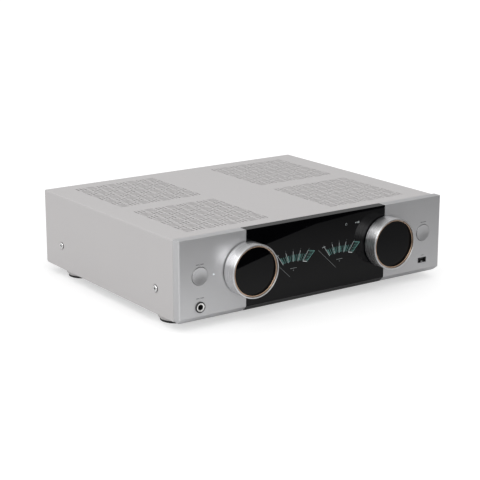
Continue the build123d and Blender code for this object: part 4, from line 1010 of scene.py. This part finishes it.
class STREAMER_OT_knobs(StreamerOperator, bpy.types.Operator):
    """Two turned knobs, each with a copper ring and a sunk gloss disc"""

    bl_idname = "streamer.knobs"
    bl_label = "Knobs"

    def build(self, colours, scene):
        gloss = gloss_black("knob_disc_gloss", colours.glass)
        steel = plated("screw_steel_shaft", (0.6, 0.6, 0.6), 0.3)
        for name in ("volume", "input"):
            body = f"{name}_knob"
            axis = axis_of(f"{name}_knob_shell")
            metal = turned_metal(f"{name}_knob_aluminium", colours.knob, axis)
            copper = plated(f"{name}_ring_copper", colours.ring, 0.22)
            self.shell(name, body, axis, scene.streamer_knobs, metal)
            self.ring(name, body, axis, scene.streamer_knobs, copper)
            self.disc(name, body, axis, scene.streamer_knobs, gloss)
            dress(steel, f"{name}_encoder_shaft")

    def shell(self, name, body, axis, k, metal):
        """Profile of the shell: grooved flank, bezel, recess, web, hub and skirt, with eased edges.
        The grooves make the flank's radius fall and rise by their depth, as a cosine of the height."""
        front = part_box(f"{name}_knob_shell")[0].y
        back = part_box(f"{name}_knob_shell")[1].y
        radius = half(f"{name}_knob_shell").x
        recess = half(f"{name}_knob_ring").x - k.ring_inset + k.ring_gap
        web_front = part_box(f"{name}_knob_ring")[1].y
        web_back = web_front + k.web
        bore = half(f"{name}_encoder_shaft").x + k.shaft_gap
        skirt = recess - k.skirt_step
        foot = back - k.hub_step
        corners = [
            (radius, back),
            (radius, front),
            (recess, front),
            (recess, web_front),
            (bore, web_front),
            (bore, foot),
            (k.hub, foot),
            (k.hub, web_back),
            (skirt, web_back),
            (skirt, back),
        ]
        roundings = np.array([k.ease, k.bezel, k.lip] + [k.ease] * 7)
        steps = 8
        profile = rounded(to_front(corners), roundings, steps)
        low = profile[steps - 1, 1]
        high = profile[steps, 1]
        count = int((high - low) / k.groove)
        rows_each = 4
        rows = np.linspace(low, high, rows_each * count + 1)[1:-1]
        wave = (1 - np.cos(FULL_TURN * count * (rows - low) / (high - low))) / 2
        flank = np.stack([radius - k.groove_depth * wave, rows], 1)
        profile = np.concatenate([profile[:steps], flank, profile[steps:]])
        put(
            f"{name}_knob_turned",
            turned(profile, axis, steps=224),
            metal,
            body,
            (f"{name}_knob_shell",),
            smooth_degrees=60.0,
        )

    def ring(self, name, body, axis, k, copper):
        """A copper ring with a collar that reaches back to the solid's place."""
        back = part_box(f"{name}_knob_ring")[1].y
        outer = half(f"{name}_knob_ring").x - k.ring_inset
        inner = outer - k.ring_face
        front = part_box(f"{name}_knob_shell")[0].y + k.ring_drop
        under = front + k.ring_sheet
        collar = inner + k.cup_wall
        corners = [
            (outer, back),
            (outer, front),
            (inner, front),
            (inner, under),
            (collar, under),
            (collar, back),
        ]
        roundings = np.array([0.05, 0.1, 0.25, 0.1, 0.02, 0.05]) * MM
        put(
            f"{name}_knob_copper",
            turned(rounded(to_front(corners), roundings), axis, steps=256),
            copper,
            body,
            (f"{name}_knob_ring",),
        )

    def disc(self, name, body, axis, k, gloss):
        """A gloss disc with a low wall round it that carries the copper ring."""
        low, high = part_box(f"{name}_knob_disc")
        gap = 0.05 * MM
        fillet = 0.6 * MM
        inner = half(f"{name}_knob_ring").x - k.ring_inset - k.ring_face
        wall = inner + k.cup_wall - gap
        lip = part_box(f"{name}_knob_shell")[0].y + k.ring_drop + k.ring_sheet + gap
        corners = [(wall, high.y), (wall, lip), (inner, lip), (inner, low.y), (0, low.y), (0, high.y)]
        roundings = np.array([0.05, 0.05, 0.05, 0.2, 0.0, 0.0]) * MM
        steps = 5
        profile = rounded(to_front(corners), roundings, steps)
        profile = np.insert(profile, 4 * steps, [inner - fillet, -low.y], axis=0)
        put(
            f"{name}_knob_face",
            turned(profile, axis, steps=192),
            gloss,
            body,
            (f"{name}_knob_disc",),
        )


class STREAMER_OT_buttons(StreamerOperator, bpy.types.Operator):
    """Two hollowed push buttons with flange and stem, and the rubber sleeves behind them"""

    bl_idname = "streamer.buttons"
    bl_label = "Buttons"

    def build(self, colours, scene):
        silicone = moulded("silicone", (0.35, 0.35, 0.36), 0.6)
        for name in ("power", "select"):
            metal = blasted(f"{name}_button_aluminium", colours.fascia, 0.33, 0.9)
            self.cap(f"{name}_button", f"{name}_key", metal, scene.streamer_buttons)
            self.sleeve(f"{name}_button_sleeve", f"{name}_press", silicone, scene.streamer_buttons)

    def sleeve(self, name, joint, silicone, b):
        """A rubber return sleeve with a waist, in section a rounded profile."""
        low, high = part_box(name)
        centre = middle(name)
        outer = half(name).x
        bore = outer - b.sleeve_wall
        corners = [
            (outer, low.y),
            (outer - b.sleeve_waist, centre.y),
            (outer, high.y),
            (bore, high.y),
            (bore, low.y),
        ]
        roundings = np.array([0.3, 2.0, 0.3, 0.3, 0.3]) * MM
        piece = put(
            f"{name}_rubber",
            turned(rounded(to_front(corners), roundings), axis_of(name), steps=96),
            silicone,
            replaces=(name,),
        )
        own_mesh(piece)

    def cap(self, name, body, metal, b):
        """Profile of a button: over the share s of its radius the face lies dish (1 - s^2) deep
        behind the rim, then come the flank, the flange and the stem."""
        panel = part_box("left_fascia")[0].y
        stem_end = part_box(name)[1].y
        flange = half(name).x
        edge = panel - b.proud
        share = np.linspace(0, 1, 24)
        face_radius = b.radius - b.rim
        face = np.stack([face_radius * share, -(edge + b.dish * (1 - share**2))], 1)
        turn = np.linspace(0, math.pi / 2, 6)
        rim = np.stack([face_radius + b.rim * np.sin(turn), -(edge + b.rim * (1 - np.cos(turn)))], 1)
        behind = [
            (b.radius, panel + b.flange_front),
            (flange, panel + b.flange_front),
            (flange, panel + b.flange_back),
            (b.stem, panel + b.flange_back),
            (b.stem, stem_end),
            (0, stem_end),
        ]
        profile = np.concatenate([face[:-1], rim, to_front(behind)])
        put(
            f"{name}_cap",
            turned(profile, axis_of(name), steps=160),
            metal,
            body,
            (name,),
        )


class STREAMER_OT_headphone_socket(StreamerOperator, bpy.types.Operator):
    """Headphone socket: black body, black ring and a bright funnel"""

    bl_idname = "streamer.headphone_socket"
    bl_label = "Headphone socket"

    def build(self, colours, scene):
        dress(moulded("black_plastic_jack", colours.plastic, 0.4), "headphone_jack")
        low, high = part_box("headphone_nut")
        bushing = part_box("headphone_jack")[0].y
        outer = half("headphone_nut").x
        ring_width = 1.5 * MM
        funnel = outer - ring_width
        hole = 4.52 * MM
        mouth = 3.9 * MM
        axis = axis_of("headphone_nut")
        roundings = np.array([0.05, 0.45, 0.2, 0.05]) * MM
        section = rounded(tube(outer, funnel, -high.y, -low.y), roundings, 6)
        put(
            "headphone_ring",
            turned(section, axis, steps=128),
            moulded("black_nut", colours.plastic, 0.35),
            replaces=("headphone_nut",),
        )
        front = bushing - 2 * SKIN
        share = np.linspace(0, 1, 16)
        slope = [funnel + (hole - funnel) * share, -(low.y + (front - low.y) * (1 - (1 - share) ** 2))]
        behind = [
            (mouth, front),
            (mouth, bushing - SKIN),
            (hole, bushing - SKIN),
            (hole, high.y),
            (funnel, high.y),
        ]
        put(
            "headphone_funnel",
            turned(np.concatenate([np.stack(slope, 1), to_front(behind)]), axis, steps=128),
            plated("bright_nickel_nut", (0.86, 0.86, 0.85), 0.1),
            replaces=("headphone_nut",),
        )


class STREAMER_OT_usb_sockets(StreamerOperator, bpy.types.Operator):
    """USB sockets, black at the front and bright at the rear, with a spring in the front one"""

    bl_idname = "streamer.usb_sockets"
    bl_label = "USB sockets"

    def build(self, colours, scene):
        shell = plated("usb_shell", (0.62, 0.62, 0.62), 0.25)
        at_rear = shell.split().output("Y") > 0.0
        shell.set("Base Color", shell.blend(at_rear, (*colours.plastic, 1.0), shell.colour))
        shell.set("Metallic", at_rear * 1.0)
        dress(shell, "usb_shells")
        dress(moulded("black_plastic_usb", colours.plastic, 0.45), "usb_tongues")
        self.spring()

    def spring(self):
        """A bright spring on the floor of the front socket: its height is a half sine of its depth."""
        low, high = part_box("usb_shells")
        wall = 0.8 * MM
        height = 7.0 * MM
        start = 0.4 * MM
        reach = 6.0 * MM
        bow = 1.6 * MM
        half_width = 1.7 * MM
        thickness = 0.25 * MM
        rows = 12
        centre_x = middle("select_button").x
        floor_z = high.z - height + wall
        share = np.linspace(0, 1, rows)
        depth = low.y + start + reach * share
        rise = bow * np.sin(math.pi * share)
        edges = [
            np.stack([np.full(rows, centre_x + x), depth, floor_z + rise + z], 1)
            for x, z in rectangle(-half_width, 0, half_width, thickness)
        ]
        nickel = plated("usb_spring_nickel", (0.8, 0.8, 0.8), 0.3)
        put("usb_spring", strip(edges), nickel)


class STREAMER_OT_feet(StreamerOperator, bpy.types.Operator):
    """Four feet: painted cups, rubber pads and screws"""

    bl_idname = "streamer.feet"
    bl_label = "Feet"

    def build(self, colours, scene):
        dress(painted("foot_paint", colours.paint, 0.4), "foot_cups")
        dress(moulded("foot_rubber", colours.rubber, 0.75, 0.6 * MM), "foot_pads")
        dress(plated("foot_screw_steel", (0.5, 0.5, 0.5), 0.3), "foot_screws")


class STREAMER_OT_screws(StreamerOperator, bpy.types.Operator):
    """Bright screws in the flanks and plated screws inside"""

    bl_idname = "streamer.screws"
    bl_label = "Screws"

    def build(self, colours, scene):
        dress(self.screw_finish(), "cover_screws")
        plain = plated("screw_steel", (0.55, 0.55, 0.56), 0.3)
        dress(plain, "chassis_screws", "encoder_nuts", "transformer_clamp")

    def screw_finish(self):
        """Bright heads whose driver slots carry painted shade: they are coloured near black where they lie
        deeper than the cover's side.
        """
        finish = plated("cover_screw_steel", (0.85, 0.85, 0.85), 0.12)
        slot_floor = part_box("top_cover")[1].x + 0.25 * MM
        place = finish.split()
        # Painted shade: where the slots lie deeper than the cover's side, their colour is near black.
        painted_slot_shade = place.math("ABSOLUTE", place) < slot_floor
        finish.set("Base Color", finish.blend(painted_slot_shade, finish.colour, (0.01, 0.01, 0.01, 1.0)))
        return finish


class STREAMER_OT_rear_sockets(StreamerOperator, bpy.types.Operator):
    """Network, video and mains sockets, speaker terminals and antennas on the rear panel"""

    bl_idname = "streamer.rear_sockets"
    bl_label = "Rear sockets"

    def build(self, colours, scene):
        dress(moulded("black_plastic", colours.plastic, 0.45), "power_inlet", "speaker_terminal_plate")
        dress(plated("terminal_brass", (0.75, 0.56, 0.28), 0.2), "speaker_posts", "power_inlet_blades")
        dress(moulded("red_plastic", colours.red, 0.35), "left_plus_cap", "right_plus_cap")
        dress(moulded("black_cap_plastic", colours.plastic, 0.35), "left_minus_cap", "right_minus_cap")
        dress(
            moulded("antenna_plastic", (0.016, 0.016, 0.017), 0.5),
            "left_antenna_base",
            "right_antenna_base",
            "left_antenna_rod",
            "right_antenna_rod",
        )
        edge = 0.3 * MM
        for name in ("power_inlet", "speaker_terminal_plate", "left_antenna_base", "right_antenna_base"):
            eased(name, edge)
        for name, node, side_wall, end_wall in (
            ("ethernet_shell", "ethernet_jack", 2.0 * MM, 1.4 * MM),
            ("hdmi_shell", "hdmi_jack", 0.4 * MM, 0.4 * MM),
        ):
            dress(self.lined(name, node, side_wall, end_wall, colours), node)
        self.network_contacts()
        self.network_lamps()

    def lined(self, name, node, side_wall, end_wall, colours):
        """Plated shell with a black lining inside its walls."""
        finish = plated(name, (0.66, 0.66, 0.66), 0.24)
        centre = middle(node)
        reach = half(node)
        place = finish.split()
        across = place.math("ABSOLUTE", place - centre.x) < reach.x - side_wall
        up = place.math("ABSOLUTE", place.output("Z") - centre.z) < reach.z - end_wall
        inside = across * up
        finish.set("Base Color", finish.blend(inside, finish.colour, (*colours.plastic, 1.0)))
        finish.set("Metallic", 1 - inside)
        return finish

    def network_contacts(self):
        """Eight gilt contacts in the network socket, evenly spaced."""
        low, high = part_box("ethernet_jack")
        count = 8
        pitch = 1.02 * MM
        width = 0.45 * MM
        deep_end = high.y - 12 * MM
        near_end = high.y - 3 * MM
        bottom = low.z + 1.5 * MM
        top = low.z + 2.1 * MM
        x = (low.x + high.x) / 2 + pitch * (np.arange(count) - (count - 1) / 2)
        start = np.stack([x - width / 2, np.full(count, deep_end), np.full(count, bottom)], 1)
        stop = np.stack([x + width / 2, np.full(count, near_end), np.full(count, top)], 1)
        gilt = plated("contact_gilt", (0.80, 0.60, 0.25), 0.2)
        put("network_contacts", boxes(start, stop), gilt)

    def network_lamps(self):
        """Two small lamp windows, one in each top corner of the network socket's face."""
        low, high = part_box("ethernet_jack")
        inset = 2.0 * MM
        reach = 1.3 * MM
        bottom = high.z - 2.6 * MM
        top = high.z - 1.0 * MM
        corner = 0.3 * MM
        proud = 0.15 * MM
        for name, x, base in (
            ("network_lamp_left", low.x + inset, (0.10, 0.42, 0.12)),
            ("network_lamp_right", high.x - inset, (0.55, 0.32, 0.06)),
        ):
            outline = rounded(rectangle(x - reach, bottom, x + reach, top), corner)
            lamp = moulded(f"{name}_plastic", base, 0.3)
            put(name, plate(outline, high.y, proud, "rear"), lamp)


class STREAMER_OT_phono_sockets(StreamerOperator, bpy.types.Operator):
    """Six phono sockets: turned barrels, insulators, collars and the blocks behind the panel"""

    bl_idname = "streamer.phono_sockets"
    bl_label = "Phono sockets"

    def build(self, colours, scene):
        low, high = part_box("phono_jacks")
        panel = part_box("rear_panel")[1].y
        block = 12 * MM
        block_back = low.y + 11 * MM
        flange = 1.4 * MM
        barrel_radius = 4.15 * MM
        bore = 3.4 * MM
        foot_bore = 2.4 * MM
        bore_end = high.y - 8 * MM
        collar_radius = 5.6 * MM
        collar_bore = 4.2 * MM
        plug_radius = 3.35 * MM
        pin_hole = 1.6 * MM
        plug_back = high.y - 7.9 * MM
        plug_front = high.y - 0.9 * MM
        columns = (low.x + block / 2, (low.x + high.x) / 2, high.x - block / 2)
        rows = (low.z + block / 2, high.z - block / 2)
        places = [(x, z) for x in columns for z in rows]
        barrel = [
            (barrel_radius, panel - flange),
            (barrel_radius, high.y),
            (bore, high.y),
            (bore, bore_end),
            (foot_bore, bore_end),
            (foot_bore, panel - flange),
        ]
        collar = tube(collar_radius, collar_bore, panel, panel + flange)
        plug = tube(plug_radius, pin_hole, plug_back, plug_front)
        nickel = plated("phono_nickel", (0.72, 0.72, 0.71), 0.16)
        metal = [self.part(barrel, 0.25 * MM, place) for place in places]
        metal += [self.part(collar, 0.3 * MM, place) for place in places]
        put("phono_barrels", joined(metal), nickel, replaces=("phono_jacks",))
        for name, row, base, slot in (
            ("phono_right_insulators", rows[0], colours.red, "red_plastic"),
            ("phono_left_insulators", rows[1], (0.62, 0.62, 0.60), "silicone"),
        ):
            rings = [self.part(plug, 0.2 * MM, place) for place in places if place[1] == row]
            plastic = moulded(f"{name}_plastic", base, 0.35)
            put(name, joined(rings), plastic, replaces=("phono_jacks",))
        reach = block / 2
        start = [(x - reach, low.y, z - reach) for x, z in places]
        stop = [(x + reach, block_back, z + reach) for x, z in places]
        plastic = moulded("phono_block_plastic", colours.plastic, 0.5)
        blocks = boxes(start, stop)
        put("phono_blocks", blocks, plastic, replaces=("phono_jacks",))

    def part(self, corners, edge, place):
        """One turned part of a socket, with its edges rounded."""
        return turned(rounded(corners, edge, 4), (place[0], 0, place[1]), "+Y", 48)


class STREAMER_OT_rear_print(StreamerOperator, bpy.types.Operator):
    """Plain lines and signs printed round the groups of sockets"""

    bl_idname = "streamer.rear_print"
    bl_label = "Rear print"

    def build(self, colours, scene):
        self.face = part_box("rear_panel")[1].y
        ink = moulded("rear_ink", colours.rear_ink)
        marks = [
            self.frame_round(("phono_jacks",), gap=7 * MM),
            self.frame_round(("ethernet_jack", "hdmi_jack"), gap=7 * MM, right_reach=26 * MM),
            self.frame_round(("power_inlet",), gap=5 * MM),
            self.frame_round(("speaker_terminal_plate",), gap=10 * MM),
        ]
        low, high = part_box("phono_jacks")
        sign = 4 * MM
        number_gap = 3.5 * MM
        half_block = 6 * MM
        columns = (low.x + half_block, (low.x + high.x) / 2, high.x - half_block)
        signs = [("L", low.x - sign, high.z - half_block), ("R", low.x - sign, low.z + half_block)]
        signs += [(digit, x, high.z + number_gap) for digit, x in zip("123", columns)]
        plate_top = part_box("speaker_terminal_plate")[1].z + sign
        for letter, side in (("R", "left"), ("L", "right")):
            plus = middle(f"{side}_plus_cap").x
            minus = middle(f"{side}_minus_cap").x
            row = (("+", plus), ("–", minus), (letter, (plus + minus) / 2))
            signs += [(words, x, plate_top) for words, x in row]
        for words, x, z in signs:
            marks.append(lettering(words, sign, (x, z), self.face, SKIN, "rear"))
        put("rear_signs", joined(marks), ink)

    def frame_round(self, names, gap, right_reach=0.0, corner=3 * MM, line=0.4 * MM):
        """A thin printed frame round the boxes of some solids, with rounded corners."""
        low = np.min([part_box(name)[0] for name in names], axis=0) - gap
        high = np.max([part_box(name)[1] for name in names], axis=0) + gap
        high[0] += right_reach
        path = rounded(rectangle(low[0], low[2], high[0], high[2]), corner, 8)
        return stroke(path, line, self.face, SKIN, True, "rear")


class STREAMER_OT_inside(StreamerOperator, bpy.types.Operator):
    """Boards with their small components, heatsink and capacitors"""

    bl_idname = "streamer.inside"
    bl_label = "Inside"

    def build(self, colours, scene):
        dress(
            circuit("circuit_board", colours.board),
            "main_board",
            "amplifier_board",
            "power_board",
            "front_board",
            "control_boards",
        )
        dress(plated("module_can", (0.66, 0.66, 0.65), 0.28), "network_module")
        dress(plated("support_steel", (0.6, 0.6, 0.58), 0.3), "board_supports", "rotary_encoders")
        dress(blasted("heatsink_aluminium", (0.05, 0.05, 0.052), 0.4), "heatsink")
        dress(moulded("transistor_plastic", (0.02, 0.02, 0.02), 0.4), "output_transistors")
        dress(self.sleeve(colours), "reservoir_capacitors")
        dress(lit("light_pipe", (0.9, 0.95, 1.0), 1.0), "status_light_pipe")
        chips = moulded("chip_plastic", (0.02, 0.02, 0.02), 0.4)
        ceramics = moulded("ceramic", (0.30, 0.22, 0.14), 0.4)
        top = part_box("power_board")[1].z
        kinds = (
            ("chips", 0, 70, np.array([2.4, 3.2, 1.0]) * MM, chips, "black_plastic"),
            ("ceramics", 10, 260, np.array([1.6, 0.9, 0.6]) * MM, ceramics, "circuit_board"),
        )
        for seed, board in enumerate(("main_board", "amplifier_board", "power_board")):
            for kind, shift, count, size, finish, slot in kinds:
                name = f"{board}_{kind}"
                self.components(board, name, seed + shift, count, size, top, finish, slot)

    def components(self, board, name, seed, count, size, top, finish, slot):
        """Small boxes of one size, each on its own cell of a grid over the board's top, turned
        lengthways or across by chance."""
        low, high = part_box(board)
        edge = 6 * MM
        cell = 4 * MM
        columns = int((high.x - low.x - 2 * edge) / cell)
        rows = int((high.y - low.y - 2 * edge) / cell)
        chance = np.random.default_rng(seed)
        cells = chance.permutation(columns * rows)[:count]
        x = low.x + edge + cell * (cells % columns + 0.5)
        y = low.y + edge + cell * (cells // columns + 0.5)
        centre = np.stack([x, y], 1)
        across = chance.random(count) < 0.5
        reach = np.where(across[:, None], size[:2], size[1::-1]) / 2
        floor = np.full((count, 1), top)
        start = np.concatenate([centre - reach, floor], 1)
        stop = np.concatenate([centre + reach, floor + size[2]], 1)
        put(name, boxes(start, stop), finish)

    def sleeve(self, colours):
        """Shrink sleeve of the capacitors, with a bare aluminium top."""
        finish = moulded("capacitor_sleeve", (0.02, 0.025, 0.05), 0.3)
        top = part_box("reservoir_capacitors")[1].z
        rim = 0.3 * MM
        bare = finish.split().output("Z") > top - rim
        finish.set("Base Color", finish.blend(bare, finish.colour, (0.6, 0.6, 0.6, 1.0)))
        finish.set("Metallic", bare * 1.0)
        return finish


class STREAMER_OT_transformer(StreamerOperator, bpy.types.Operator):
    """Toroidal transformer, wound with overlapping tape"""

    bl_idname = "streamer.transformer"
    bl_label = "Transformer"

    def build(self, colours, scene):
        """The section is a rounded rectangle. Round the ring each turn of tape rises by its thickness
        and drops again, as a sawtooth of the angle."""
        low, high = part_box("toroidal_transformer")
        centre = (low + high) / 2
        outer = (high.x - low.x) / 2
        hole = 17 * MM
        tape = 0.35 * MM
        turns = 72
        steps = 6
        round_edge = 12 * MM
        profile = rounded(tube(outer - tape, hole, low.z, high.z), round_edge, 8)

        def wound(angle, radius, height):
            rise = (angle / FULL_TURN * turns) % 1.0
            return 1 + tape / outer * rise

        put(
            "transformer_winding",
            turned(profile, (centre.x, centre.y, 0), "+Z", turns * steps, wound),
            moulded("transformer_tape", (0.50, 0.37, 0.08), 0.28),
            replaces=("toroidal_transformer",),
            smooth_degrees=25.0,
        )


OPERATORS = (
    STREAMER_OT_stage,
    STREAMER_OT_case,
    STREAMER_OT_fascia,
    STREAMER_OT_window,
    STREAMER_OT_meters,
    STREAMER_OT_knobs,
    STREAMER_OT_buttons,
    STREAMER_OT_headphone_socket,
    STREAMER_OT_usb_sockets,
    STREAMER_OT_feet,
    STREAMER_OT_screws,
    STREAMER_OT_rear_sockets,
    STREAMER_OT_phono_sockets,
    STREAMER_OT_rear_print,
    STREAMER_OT_inside,
    STREAMER_OT_transformer,
)


class STREAMER_PT_panel(bpy.types.Panel):
    """Lists the pieces of the streamer"""

    bl_idname = "STREAMER_PT_panel"
    bl_label = "Network music streamer"
    bl_space_type = "VIEW_3D"
    bl_region_type = "UI"
    bl_category = "Streamer"

    def draw(self, context):
        for operator in OPERATORS:
            self.layout.operator(operator.bl_idname)


GROUPS = {
    "streamer_colours": StreamerColours,
    "streamer_meters": MeterSizes,
    "streamer_knobs": KnobSizes,
    "streamer_buttons": ButtonSizes,
    "streamer_stage": StageSizes,
}


def register():
    for kind in (*GROUPS.values(), *OPERATORS, STREAMER_PT_panel):
        bpy.utils.register_class(kind)
    for name, kind in GROUPS.items():
        setattr(bpy.types.Scene, name, PointerProperty(type=kind))


def unregister():
    for name in GROUPS:
        delattr(bpy.types.Scene, name)
    for kind in (STREAMER_PT_panel, *reversed(OPERATORS), *reversed(GROUPS.values())):
        bpy.utils.unregister_class(kind)


def main():
    register()
    for operator in OPERATORS:
        area, name = operator.bl_idname.split(".")
        getattr(getattr(bpy.ops, area), name)()


if __name__ == "__main__":
    main()
